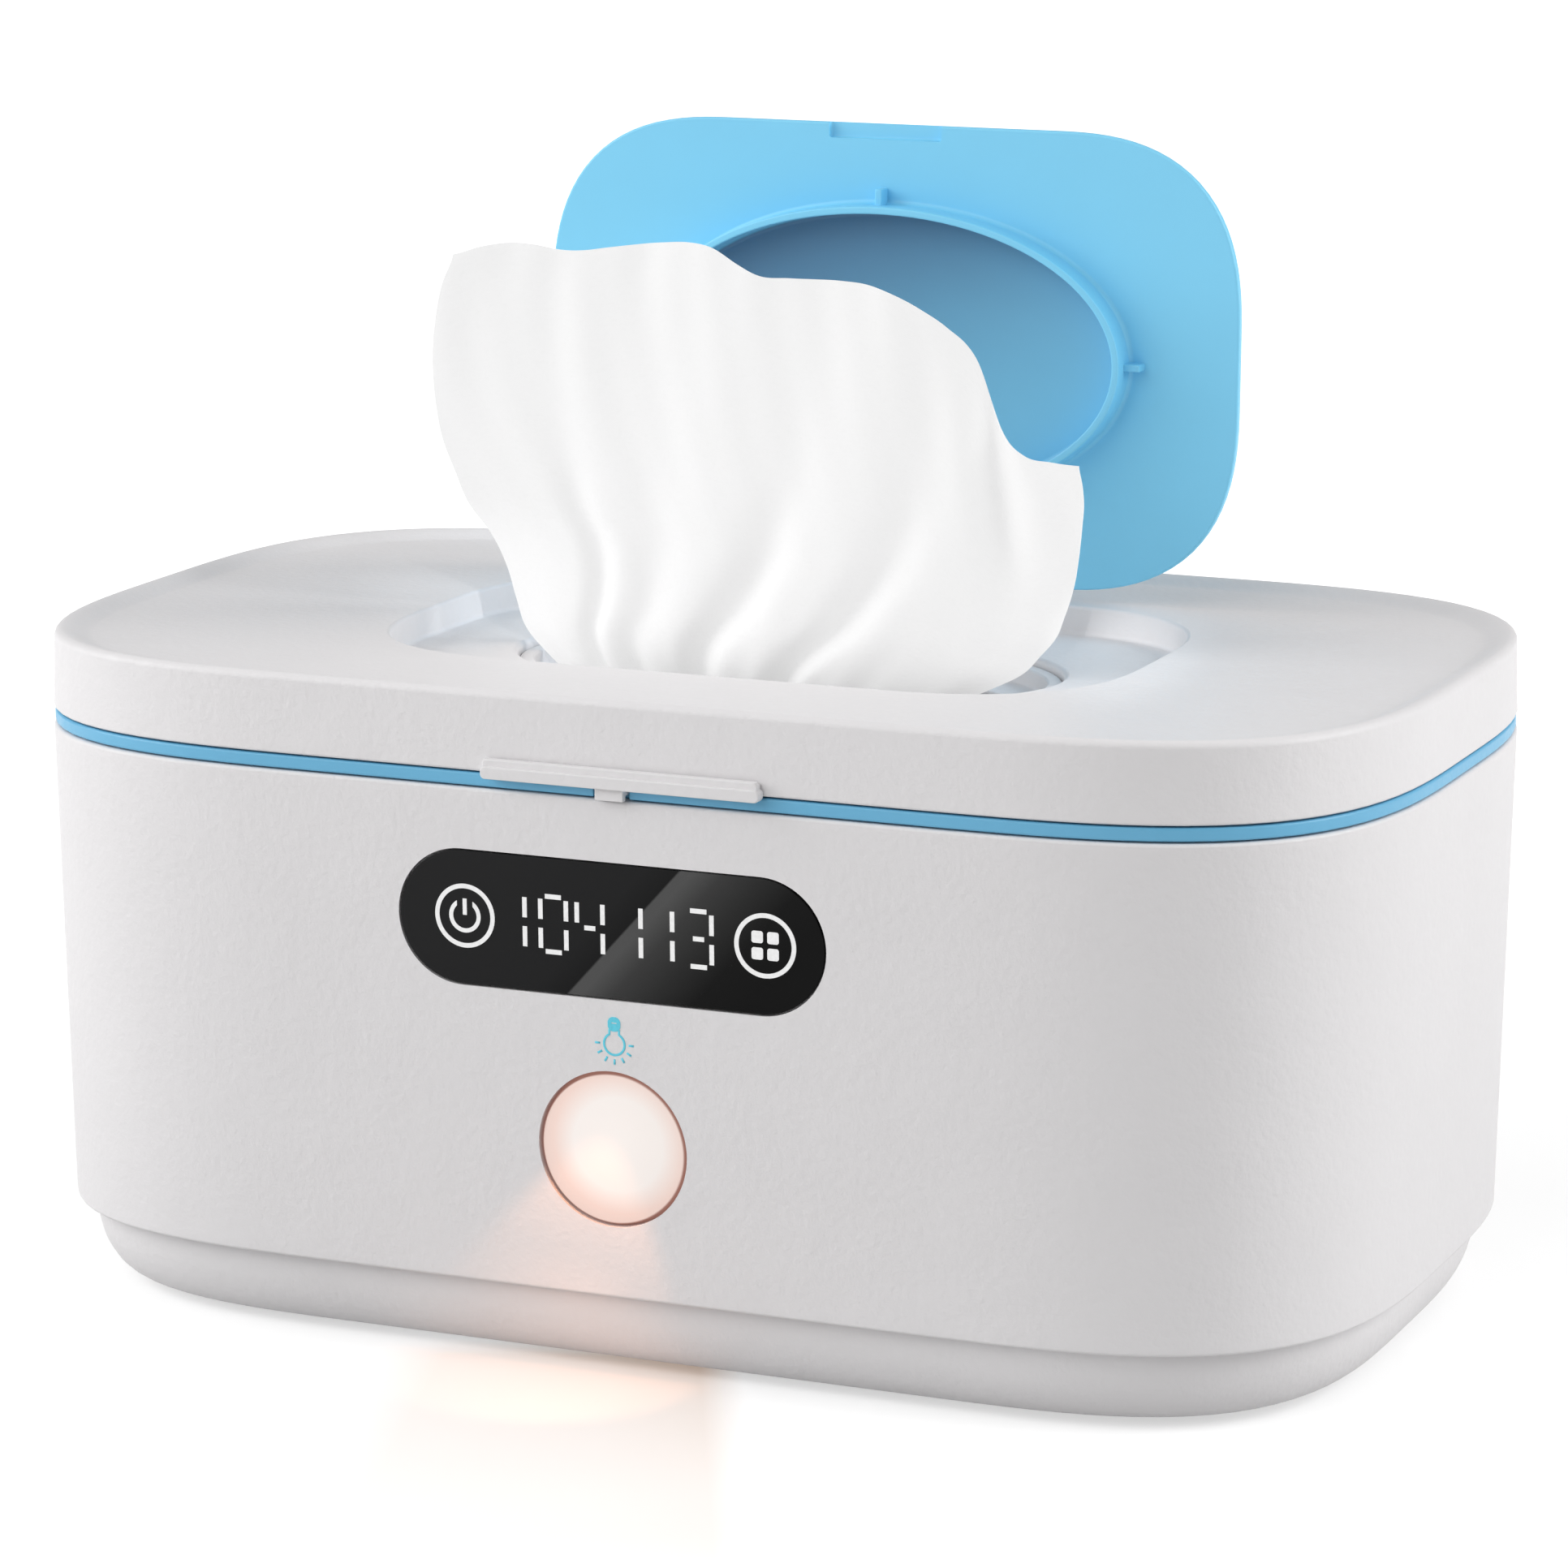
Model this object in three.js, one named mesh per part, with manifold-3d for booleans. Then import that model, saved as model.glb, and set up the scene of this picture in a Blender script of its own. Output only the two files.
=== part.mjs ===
// Baby wipe warmer: a heated tub under a hinged lid, with a flip cap over the dispensing slot,
// a display and a light button on the front. Millimetres, +Z up, front towards -Y.
import * as THREE from 'three';
import { mergeVertices } from 'three/addons/utils/BufferGeometryUtils.js';
import Module from 'manifold-3d';

const wasm = await Module();
wasm.setup();

// Clearances shared by all pieces
const fitGap = 0.3;
const overrun = 1;
const edgeRound = 0.5;

// Plan of the housing, a rounded rectangle with superellipse corners
const halfWidth = 120;
const halfDepth = 72.2;
const cornerSize = 68;
const cornerPower = 3.15;

// Heights of the housing, stacked from the surface that it stands on
const footHeight = 1.5;
const trayHeight = 13;
const wallHeight = 82.7;
const bandHeight = 2.8;
const lidHeight = 13.2;
const wallDraft = 1.64;
const shellWall = 2.5;

const trayZ = footHeight;
const wallZ = trayZ + trayHeight;
const rimZ = wallZ + wallHeight;
const lidZ = rimZ + bandHeight;
const crestZ = lidZ + lidHeight;

// Bottom tray
const trayInset = 2.9;
const trayCurve = 6.8;
const trayFloor = 3;
const traySide = 2.2;
const traySpigot = 6;

// Feet and screws under the tray
const footRadius = 7;
const footPocket = 1;
const footSideRoom = 34;
const footFrontRoom = 32.2;
const footX = halfWidth - footSideRoom;
const footY = halfDepth - footFrontRoom;
const screwSideRoom = 58;
const screwFrontRoom = 30.2;
const screwX = halfWidth - screwSideRoom;
const screwY = halfDepth - screwFrontRoom;
const screwRadius = 1.5;
const screwHeadRadius = 3.2;
const screwHeadHeight = 1.6;
const screwPocket = 2.2;
const screwLength = 14;
const crownShare = 0.7;
const brimShare = 0.4;

// Coloured trim ring between housing and lid
const ringInset = 0.2;
const ringWidth = 7;
const ringSpigot = 5;

// Inner tank for the wipes
const tankSideRoom = 12;
const tankFrontRoom = 14.7;
const tankHalfWidth = halfWidth - tankSideRoom;
const tankHalfDepth = halfDepth - tankFrontRoom;
const tankCorner = 30;
const tankPower = 2.5;
const tankWall = 1.6;
const tankDraft = 1;
const tankBottomZ = 24;
const tankRound = 5;
const flangeInset = 5;
const flangeHeight = 1.2;
const bossRadius = 4.5;

// Heater stack under the tank
const heaterSideRoom = 28;
const heaterFrontRoom = 24.5;
const heaterHalfWidth = tankHalfWidth - heaterSideRoom;
const heaterHalfDepth = tankHalfDepth - heaterFrontRoom;
const heaterCorner = 8;
const heaterThick = 1.2;
const filmThick = 0.4;
const padThick = 4;
const padMargin = 3;
const postRadius = 2.6;
const sensorRoom = 24;
const sensorX = heaterHalfWidth - sensorRoom;
const sensorRadius = 4;
const sensorHeight = 2.2;
const cutoutLength = 14;
const cutoutWidth = 7;
const cutoutHeight = 3.5;
const cutoutRoom = 6;
const cutoutX = sensorX - sensorRoom / 2;
const cutoutY = heaterHalfDepth - cutoutRoom - cutoutLength / 2;

// Control board on the tray
const boardX = 0;
const boardY = 20;
const boardHalfWidth = 34;
const boardHalfDepth = 18;
const boardThick = 1.6;
const boardPostHeight = 2.4;
const boardPostInset = 4;
const relayWidth = 16;
const relayDepth = 12;
const relayHeight = 6.5;
const relayX = 16;
const capacitorRadius = 3.6;
const capacitorHeight = 6.8;
const capacitorX = 24;
const plugWidth = 8;
const plugDepth = 5;
const plugHeight = 4;
const plugPitch = 14;

// Power inlet in the rear wall
const inletSideRoom = 76;
const inletX = halfWidth - inletSideRoom;
const inletZ = 26.7;
const inletRadius = 4;
const inletBore = 2.9;
const inletPin = 0.9;
const inletHalfWidth = 5.5;
const inletLength = 9.5;
const inletNose = 2.2;
const inletBack = 2;

// Display window, its module and the touch pads
const panelZ = 75.7;
const panelHalfLength = 37.1;
const panelHalfHeight = 11.05;
const panelThick = 1;
const panelLedge = 1.6;
const digitsHalfWidth = 16;
const digitsHalfHeight = 7;
const moduleHalfWidth = 34;
const moduleHalfHeight = 9.4;
const moduleThick = 1.4;
const moduleDepth = 4.6;
const keyX = 26.3;
const keyRadius = 4.4;
const modulePostRadius = 1.8;
const modulePostX = 31;
const modulePostY = 6.6;

// Light button and what it presses and lets through
const lensZ = 39.5;
const lensRadius = 12.6;
const lensGap = 0.45;
const lensDome = 1.1;
const lensWall = 1.3;
const lensFlange = 1.5;
const lensFlangeThick = 1.1;
const buttonTravel = 1;
const lightBoardDepth = 8.8;
const lightBoardHalfWidth = 22;
const lightBoardHalfHeight = 15.5;
const lightPostX = 18.6;
const ledRadius = 2.6;
const ledHeight = 3;
const ledTipShare = 0.7;
const switchHalf = 2.4;
const switchPlunger = 1.2;

// Hinges of the lid on the rear wall
const hingeReach = 3.6;
const hingeRadius = 3.1;
const hingePin = 1.5;
const hingeSideRoom = 74;
const hingeX = halfWidth - hingeSideRoom;
const hingeHalfLength = 12;
const hingeLidHalf = 5;
const hingeLeaf = 9;

// Lid shell: wall, rim crest and the shallow dish inside the rim
const lidDraft = 0.3;
const crestRound = 3.6;
const dishDrop = 1.5;
const dishInset = 9;
const lidWall = 2.4;
const linerInset = 6;
const linerThick = 1.4;
const gasketInset = 7.4;
const gasketWidth = 3;
const gasketHeight = 1.5;
const gasketTipShare = 0.4;
const lidScrewSideRoom = 28;
const lidScrewFrontRoom = 38.2;
const lidScrewX = halfWidth - lidScrewSideRoom;
const lidScrewY = halfDepth - lidScrewFrontRoom;
const lidScrewRadius = 1.2;
const lidScrewHead = 2.4;
const lidScrewHeadHeight = 1.1;
const lidScrewLength = 5;
const lidBossRadius = 3;

// Flip cap plate, also the shape of the recess that it closes
const capWidthShare = 0.5383;
const capDepthShare = 0.5506;
const capHalfWidth = halfWidth * capWidthShare;
const capHalfDepth = halfDepth * capDepthShare;
const capCorner = 34;
const capPower = 2.6;
const capThick = 2;
const capY = 1.65;
const capGap = 1.1;
const recessDepth = 5.1;
const recessRound = 1.5;
const recessFoot = 2.3;
const capHingeBehind = 3.95;
const capHingeBelow = 0.5;
const capBarrelRadius = 1.8;
const capBarrelHalf = 15;
const capStubRadius = 1.1;
const capStubLength = 2.4;
const capArmWidth = 5;
const pocketWall = 2.2;
const pocketRear = 3.1;
const capOpenAngle = THREE.MathUtils.degToRad(91);

// Oval collar, ribs and finger notch on the inner face of the cap
const collarWidthShare = 0.675;
const collarDepthShare = 0.619;
const collarHalfWidth = capHalfWidth * collarWidthShare;
const collarHalfDepth = capHalfDepth * collarDepthShare;
const collarWall = 1.3;
const collarDepth = 5.8;
const ovalFlat = 0.4;
const ribLength = 2.8;
const ribWidth = 1.6;
const ribHeight = 2.2;
const notchHalfWidth = 10.5;
const notchDepth = 2.7;
const notchCut = 0.9;

// Dispenser opening: rounded edge of the recess floor, step, wall round the collar, ledge and slot
const holeRound = 1;
const stepDrop = 1.4;
const stepWidth = 2.6;
const collarRoom = 0.9;
const ledgeDrop = 3;
const ledgeWidth = 6;
const slotLip = 1.8;
const slotDepthShare = 0.6;
const dispenserFlange = 3.4;
const dispenserFlangeHeight = 1.6;

// Lift bar on the front edge of the lid, with its tab over the ring
const barX = 2.4;
const barHalfLength = 24.1;
const barHeight = 2.9;
const barReach = 2.2;
const barStep = 0.7;
const barDrop = 0.6;
const barTop = 1;
const barEndRound = 0.9;
const tabX = 0.6;
const tabHalfWidth = 2.9;
const tabHeight = 2.8;
const tabThick = 1.2;
const tabRib = 1.1;
const tabRibDepth = 1.5;

// Wipe standing in the slot: edges of its fan, from the slot upwards, free edge from left to right, and folds
const wipeThick = 1.1;
const wipeBottomZ = 98;
const wipeHeight = 78.5;
const wipeSpanShare = 0.55;
const wipeHalfSpan = halfWidth * wipeSpanShare;
const wipeLeftShares = [
  0.565, 0.58, 0.715, 0.758, 0.788, 0.832, 0.9, 0.938, 0.973, 0.991, 1, 1, 0.991, 0.974, 0.942,
];
const wipeRightShares = [
  0.379, 0.447, 0.553, 0.645, 0.692, 0.733, 0.752, 0.768, 0.779, 0.785, 0.789, 0.792, 0.794, 0.788, 0.776,
];
const wipeTopShares = [
  0.952, 0.973, 0.98, 0.968, 0.985, 0.995, 1, 0.985, 0.945, 0.94, 0.94, 0.93, 0.9, 0.85, 0.74, 0.61, 0.581,
];
const wipeGatherPower = 4;
const wipeGatherShare = 0.9;
const wipeFoldDepth = 5.5;
const wipeBaseFold = 0.9;
const wipeFoldShare = 0.3;
const wipeFolds = 4.5;
const wipeBulge = 9;
const wipeBulgeShare = 0.2;
const wipeLean = 2.5;
const wipeColumns = 28;
const wipeRows = 14;

// Leads inside the housing
const leadRadius = 1.1;
const leadSides = 8;

// Facet counts
const outerSteps = 10;
const innerSteps = 6;
const roundSides = 20;
const pinSides = 12;
const crestSteps = 4;
const filletSteps = 2;

// Colours and finishes
const shellMaterial = new THREE.MeshStandardMaterial({ color: 0xe9e6e7, roughness: 0.55, metalness: 0 });
const blueMaterial = new THREE.MeshStandardMaterial({ color: 0x7cc6ee, roughness: 0.4, metalness: 0 });
const darkMaterial = new THREE.MeshStandardMaterial({ color: 0x141416, roughness: 0.12, metalness: 0 });
const lensMaterial = new THREE.MeshStandardMaterial({
  color: 0xfff4ea, emissive: 0xffe3cf, emissiveIntensity: 0.8, roughness: 0.3, metalness: 0,
});
const rubberMaterial = new THREE.MeshStandardMaterial({ color: 0x8d8f92, roughness: 0.85, metalness: 0 });
const siliconeMaterial = new THREE.MeshStandardMaterial({ color: 0xd7dade, roughness: 0.7, metalness: 0 });
const steelMaterial = new THREE.MeshStandardMaterial({ color: 0xb9bcc0, roughness: 0.35, metalness: 1 });
const aluminiumMaterial = new THREE.MeshStandardMaterial({ color: 0xc9ccd0, roughness: 0.4, metalness: 1 });
const filmMaterial = new THREE.MeshStandardMaterial({ color: 0xb4691f, roughness: 0.35, metalness: 0 });
const feltMaterial = new THREE.MeshStandardMaterial({ color: 0xd9d6cf, roughness: 0.95, metalness: 0 });
const boardMaterial = new THREE.MeshStandardMaterial({ color: 0x1d5a3a, roughness: 0.5, metalness: 0 });
const leadMaterial = new THREE.MeshStandardMaterial({ color: 0x2a2a2c, roughness: 0.6, metalness: 0 });
const wipeMaterial = new THREE.MeshStandardMaterial({ color: 0xf5f5f5, roughness: 0.9, metalness: 0 });
const innerMaterial = new THREE.MeshStandardMaterial({ color: 0xdedcdc, roughness: 0.5, metalness: 0 });

/** Height dependent inset of the drafted outer wall. */
function wallInset(z) {
  return wallDraft * (rimZ - z) / wallHeight;
}

/** Y of the front face at a height. */
function frontY(z) {
  return wallInset(z) - halfDepth;
}

/** Closed outline with straight sides and superellipse corners, as points at one height. */
function outline({ halfX, halfY, cornerX, cornerY, power, centreY = 0, z = 0 }, steps) {
  const roundX = Math.min(cornerX, halfX);
  const roundY = Math.min(cornerY, halfY);
  const points = [];
  for (let quadrant = 0; quadrant < 4; quadrant += 1) {
    const signX = quadrant === 0 || quadrant === 3 ? 1 : -1;
    const signY = quadrant < 2 ? 1 : -1;
    for (let step = 0; step <= steps; step += 1) {
      const turn = (quadrant % 2 === 0 ? step : steps - step) / steps * Math.PI / 2;
      const shareX = step === (quadrant % 2 === 0 ? steps : 0) ? 0 : Math.cos(turn) ** (2 / power);
      const shareY = turn === 0 ? 0 : Math.sin(turn) ** (2 / power);
      const x = signX * (halfX - roundX + roundX * shareX);
      const y = signY * (halfY - roundY + roundY * shareY) + centreY;
      points.push(new THREE.Vector3(x, y, z));
    }
  }
  return points;
}

/** Outline of the housing plan, set in by an amount. */
function plan(inset, z, steps = outerSteps) {
  const corner = cornerSize - inset;
  return outline({
    halfX: halfWidth - inset, halfY: halfDepth - inset, cornerX: corner, cornerY: corner, power: cornerPower, z,
  }, steps);
}

/** Outline of the flip cap, grown by an amount. */
function capPlan(growth, z, steps = outerSteps, centreY = capY) {
  const corner = capCorner + growth;
  return outline({
    halfX: capHalfWidth + growth, halfY: capHalfDepth + growth, cornerX: corner, cornerY: corner, power: capPower,
    centreY, z,
  }, steps);
}

/** Oval outline. */
function oval(halfX, halfY, z, steps = outerSteps, centreY = capY) {
  return outline({
    halfX, halfY, cornerX: halfX - ovalFlat, cornerY: halfY - ovalFlat, power: 2, centreY, z,
  }, steps);
}

/** Outline of the tank, set in by an amount. */
function tankPlan(inset, z, steps = outerSteps) {
  const corner = tankCorner - inset;
  return outline({
    halfX: tankHalfWidth - inset, halfY: tankHalfDepth - inset, cornerX: corner, cornerY: corner, power: tankPower, z,
  }, steps);
}

/** Volume inside a triangle mesh, negative when its faces point inwards. */
function signedVolume(positions, indices) {
  const a = new THREE.Vector3();
  const b = new THREE.Vector3();
  const c = new THREE.Vector3();
  let sum = 0;
  for (let i = 0; i < indices.length; i += 3) {
    a.fromArray(positions, indices[i] * 3);
    b.fromArray(positions, indices[i + 1] * 3);
    c.fromArray(positions, indices[i + 2] * 3);
    sum += a.dot(b.cross(c));
  }
  return sum / 6;
}

/** Indexed geometry with outward faces from positions and triangles. */
function solidGeometry(positions, indices) {
  const faces = signedVolume(positions, indices) < 0 ? [...indices].reverse() : indices;
  const geometry = new THREE.BufferGeometry();
  geometry.setAttribute('position', new THREE.Float32BufferAttribute(positions, 3));
  geometry.setIndex(faces);
  return geometry;
}

/** Solid through a list of outlines, capped at both ends, or joined last to first as a ring. */
function loft(sections, ring = false) {
  const count = sections[0].length;
  const positions = sections.flat().flatMap((point) => [point.x, point.y, point.z]);
  const indices = [];
  const bands = ring ? sections.length : sections.length - 1;
  for (let band = 0; band < bands; band += 1) {
    const lower = band * count;
    const upper = ((band + 1) % sections.length) * count;
    for (let i = 0; i < count; i += 1) {
      const next = (i + 1) % count;
      indices.push(lower + i, lower + next, upper + next, lower + i, upper + next, upper + i);
    }
  }
  if (!ring) {
    const ends = [[0, true], [sections.length - 1, false]];
    for (const [section, first] of ends) {
      const centre = new THREE.Vector3();
      sections[section].forEach((point) => centre.add(point));
      centre.divideScalar(count);
      const hub = positions.length / 3;
      positions.push(centre.x, centre.y, centre.z);
      for (let i = 0; i < count; i += 1) {
        const here = section * count + i;
        const next = section * count + (i + 1) % count;
        indices.push(...(first ? [hub, next, here] : [hub, here, next]));
      }
    }
  }
  return solidGeometry(positions, indices);
}

/** Merges shared corners and drops faces that have lost their area. */
function weld(source) {
  const geometry = source.clone();
  geometry.deleteAttribute('normal');
  geometry.deleteAttribute('uv');
  const merged = mergeVertices(geometry);
  const old = merged.getIndex().array;
  const kept = [];
  for (let i = 0; i < old.length; i += 3) {
    const [a, b, c] = [old[i], old[i + 1], old[i + 2]];
    if (a !== b && b !== c && c !== a) kept.push(a, b, c);
  }
  merged.setIndex(kept);
  return merged;
}

/** Solid of revolution about Z from radius and height pairs that start and end on the axis. */
function turned(profile, sides = roundSides) {
  const points = profile.map(([radius, z]) => new THREE.Vector2(radius, z));
  const geometry = weld(new THREE.LatheGeometry(points, sides).rotateX(Math.PI / 2));
  return solidGeometry([...geometry.getAttribute('position').array], [...geometry.getIndex().array]);
}

/** Upright cylinder between two heights. */
function post(radius, bottom, top, sides = roundSides) {
  return turned([[0, bottom], [radius, bottom], [radius, top], [0, top]], sides);
}

/** Block given by its middle and full sizes. */
function block(width, depth, height, x = 0, y = 0, z = 0) {
  return new THREE.BoxGeometry(width, depth, height).translate(x, y, z);
}

/** Manifold solid of a geometry. */
function toSolid(geometry) {
  const welded = weld(geometry);
  return new wasm.Manifold(new wasm.Mesh({
    numProp: 3,
    vertProperties: new Float32Array(welded.getAttribute('position').array),
    triVerts: new Uint32Array(welded.getIndex().array),
  }));
}

/** Joins pieces to a base and cuts others out of it. */
function carve(base, joined, removed) {
  let solid = toSolid(base);
  for (const piece of joined) solid = solid.add(toSolid(piece));
  for (const piece of removed) solid = solid.subtract(toSolid(piece));
  const mesh = solid.getMesh();
  const geometry = new THREE.BufferGeometry();
  geometry.setAttribute('position', new THREE.Float32BufferAttribute(mesh.vertProperties, 3));
  geometry.setIndex([...mesh.triVerts]);
  return geometry;
}

/** Named mesh placed in its parent. */
function piece(name, geometry, material, parent, x = 0, y = 0, z = 0) {
  const shape = geometry.index ? geometry.toNonIndexed() : geometry;
  shape.computeVertexNormals();
  const mesh = new THREE.Mesh(shape, material);
  mesh.name = name;
  mesh.position.set(x, y, z);
  parent.add(mesh);
  return mesh;
}

/** The four places at plus and minus x and y. */
function corners(x, y) {
  return [[x, y], [-x, y], [-x, -y], [x, -y]];
}

/** Places of the two hinges along X. */
const hingeSides = [-1, 1];
const sideNames = ['left', 'right'];
const cornerNames = ['rear_right', 'rear_left', 'front_left', 'front_right'];

// The assembly is centred between the front of the lift bar and the back of the hinges
const frontReach = fitGap + barReach;
const rearReach = hingeReach + hingeRadius;
const warmer = new THREE.Group();
warmer.name = 'baby_wipe_warmer';
const assembly = new THREE.Group();
assembly.position.y = (frontReach - rearReach) / 2;
warmer.add(assembly);

// Frame of the drafted front face: X across, Y into the housing, Z up the face
const frontTilt = Math.atan(wallDraft / wallHeight);

/** Matrix that carries the front face frame to a height of the face. */
function frontMatrix(z) {
  return new THREE.Matrix4().makeTranslation(0, frontY(z), z).multiply(new THREE.Matrix4().makeRotationX(frontTilt));
}

/** Group that lies on the front face at a height. */
function frontGroup(z, parent) {
  const group = new THREE.Group();
  group.position.set(0, frontY(z), z);
  group.rotation.x = frontTilt;
  parent.add(group);
  return group;
}

/** Cylinder along Y from a start depth to an end depth. */
function plug(radius, start, end, sides = roundSides) {
  return post(radius, -end, -start, sides).rotateX(Math.PI / 2);
}

/** Round ended plate in the front face frame, between two depths. */
function stadium(halfLength, halfHeight, start, end) {
  const straight = halfLength - halfHeight;
  const shape = new THREE.Shape();
  shape.moveTo(-straight, -halfHeight);
  shape.lineTo(straight, -halfHeight);
  shape.absarc(straight, 0, halfHeight, -Math.PI / 2, Math.PI / 2, false);
  shape.lineTo(-straight, halfHeight);
  shape.absarc(-straight, 0, halfHeight, Math.PI / 2, Math.PI * 3 / 2, false);
  const geometry = new THREE.ExtrudeGeometry(shape, { depth: end - start, bevelEnabled: false, curveSegments: 12 });
  return geometry.rotateX(Math.PI / 2).translate(0, end, 0);
}

// Levels shared by the lid pieces
const dishZ = crestZ - dishDrop;
const recessZ = dishZ - recessDepth;
const recessUnderZ = recessZ - lidWall;
const ringTopZ = lidZ - fitGap;
const flangeZ = lidZ;
const flangeTopZ = flangeZ + flangeHeight;
const gasketZ = flangeTopZ + fitGap;
const linerZ = gasketZ + gasketHeight + fitGap;
const linerTopZ = linerZ + linerThick;

// Hinge axis of the lid
const hingeY = halfDepth + hingeReach;
const hingeZ = (rimZ + lidZ) / 2;

// Flip cap: level of the plate when shut, its hinge axis and the steps of the opening round its collar
const capBottomZ = dishZ - capThick + fitGap;
const capHingeY = capY + capHalfDepth + capHingeBehind;
const capHingeZ = capBottomZ - capHingeBelow + fitGap;
const collarOuterX = collarHalfWidth + collarWall;
const collarOuterY = collarHalfDepth + collarWall;
const stepX = collarOuterX + collarRoom;
const stepY = collarOuterY + collarRoom;
const dispenserX = stepX + stepWidth;
const dispenserY = stepY + stepWidth;
const dispenserTopZ = recessZ - stepDrop;
const ledgeZ = dispenserTopZ - ledgeDrop;
const slotHalfWidth = stepX - ledgeWidth;
const slotHalfDepth = stepY * slotDepthShare;

// Levels of the heater stack, from the tank downwards
const heaterZ = tankBottomZ - fitGap - heaterThick;
const filmZ = heaterZ - fitGap - filmThick;
const padZ = filmZ - fitGap - padThick;
const padPostX = heaterHalfWidth - padMargin - postRadius;
const padPostY = heaterHalfDepth - padMargin - postRadius;
const screwHeadTopZ = trayZ + screwPocket - fitGap;
const screwTopZ = screwHeadTopZ + screwLength;
const boardZ = trayZ + trayFloor + boardPostHeight + fitGap;
const inletFaceY = halfDepth - wallInset(inletZ);
const inletStartY = inletFaceY - shellWall - fitGap;

// Plugs in a row along the front edge of the control board
const plugShares = [-1.5, -0.5, 0.5, 1.5];
const plugRowY = plugDepth / 2 + edgeRound - boardHalfDepth;

/** Barrel along X between two places. */
function barrel(radius, from, to, y, z, sides = roundSides) {
  return post(radius, from, to, sides).rotateY(Math.PI / 2).translate(0, y, z);
}

/** Hinge leaf that joins a barrel to the wall in front of it, with a rounded back. */
function leaf(from, to, bottom, top) {
  const start = halfDepth - shellWall / 2;
  const depth = hingeY - start;
  return block(to - from, depth, top - bottom, (from + to) / 2, start + depth / 2, (bottom + top) / 2);
}

/** Housing wall with window, button and inlet openings, posts and hinge knuckles. */
function bodyShell() {
  const wall = loft([
    plan(wallDraft + edgeRound, wallZ),
    plan(wallInset(wallZ + edgeRound), wallZ + edgeRound),
    plan(wallInset(rimZ - edgeRound), rimZ - edgeRound),
    plan(edgeRound, rimZ),
    plan(shellWall, rimZ),
    plan(shellWall + wallDraft, wallZ),
  ], true);
  const panel = frontMatrix(panelZ);
  const lamp = frontMatrix(lensZ);
  const inner = shellWall - edgeRound;
  const joined = corners(modulePostX, modulePostY).map(
    ([x, z]) => plug(modulePostRadius, inner, moduleDepth - fitGap, pinSides).translate(x, 0, z).applyMatrix4(panel),
  );
  for (const side of hingeSides) {
    joined.push(plug(modulePostRadius, inner, lightBoardDepth - fitGap, pinSides)
      .translate(side * lightPostX, 0, 0).applyMatrix4(lamp));
  }
  const removed = [
    stadium(panelHalfLength + fitGap, panelHalfHeight + fitGap, -overrun, panelThick + fitGap).applyMatrix4(panel),
    stadium(panelHalfLength - panelLedge, panelHalfHeight - panelLedge, 0, shellWall + overrun).applyMatrix4(panel),
    plug(lensRadius + lensGap, -overrun, shellWall + overrun, roundSides * 2).applyMatrix4(lamp),
    plug(inletRadius + fitGap, -shellWall - overrun, shellWall + overrun).translate(inletX, inletFaceY, inletZ),
  ];
  for (const side of hingeSides) {
    const centre = side * hingeX;
    for (const end of hingeSides) {
      const near = centre + end * (hingeLidHalf + fitGap);
      const far = centre + end * hingeHalfLength;
      const from = Math.min(near, far);
      const to = Math.max(near, far);
      joined.push(barrel(hingeRadius, from, to, hingeY, hingeZ));
      joined.push(leaf(from, to, hingeZ - hingeLeaf, rimZ));
    }
    const reach = hingeHalfLength + overrun;
    removed.push(barrel(hingePin + fitGap, centre - reach, centre + reach, hingeY, hingeZ, pinSides));
  }
  return carve(wall, joined, removed);
}

/** Bottom tray with bulged sides, pockets for feet and screws, and posts for what it carries. */
function baseTray() {
  const sections = [];
  for (let step = crestSteps; step >= 0; step -= 1) {
    const turn = step / crestSteps * Math.PI / 2;
    const inset = wallDraft + trayInset + trayCurve * (1 - Math.cos(turn));
    sections.push(plan(inset, wallZ - fitGap - (trayHeight - fitGap) * Math.sin(turn)));
  }
  const rim = wallDraft + trayInset;
  const spigotZ = wallZ + traySpigot;
  const floorZ = trayZ + trayFloor;
  sections.push(plan(rim, spigotZ));
  sections.push(plan(rim + traySide, spigotZ));
  sections.push(plan(rim + traySide, wallZ - traySide));
  sections.push(plan(rim + trayCurve / 2 + traySide, floorZ + traySide));
  sections.push(plan(rim + trayCurve + traySide, floorZ));
  const tub = loft(sections);
  const joined = [];
  for (const [x, y] of corners(boardHalfWidth - boardPostInset, boardHalfDepth - boardPostInset)) {
    joined.push(post(postRadius, floorZ - edgeRound, floorZ + boardPostHeight, pinSides)
      .translate(boardX + x, boardY + y, 0));
  }
  for (const [x, y] of corners(padPostX, padPostY)) {
    joined.push(post(postRadius, floorZ - edgeRound, padZ - fitGap, pinSides).translate(x, y, 0));
  }
  const removed = [];
  for (const [x, y] of corners(footX, footY)) {
    removed.push(post(footRadius + fitGap, trayZ - overrun, trayZ + footPocket).translate(x, y, 0));
  }
  for (const [x, y] of corners(screwX, screwY)) {
    removed.push(post(screwHeadRadius + fitGap, trayZ - overrun, trayZ + screwPocket, pinSides).translate(x, y, 0));
    removed.push(post(screwRadius + fitGap, trayZ, floorZ + overrun, pinSides).translate(x, y, 0));
  }
  return carve(tub, joined, removed);
}

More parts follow.
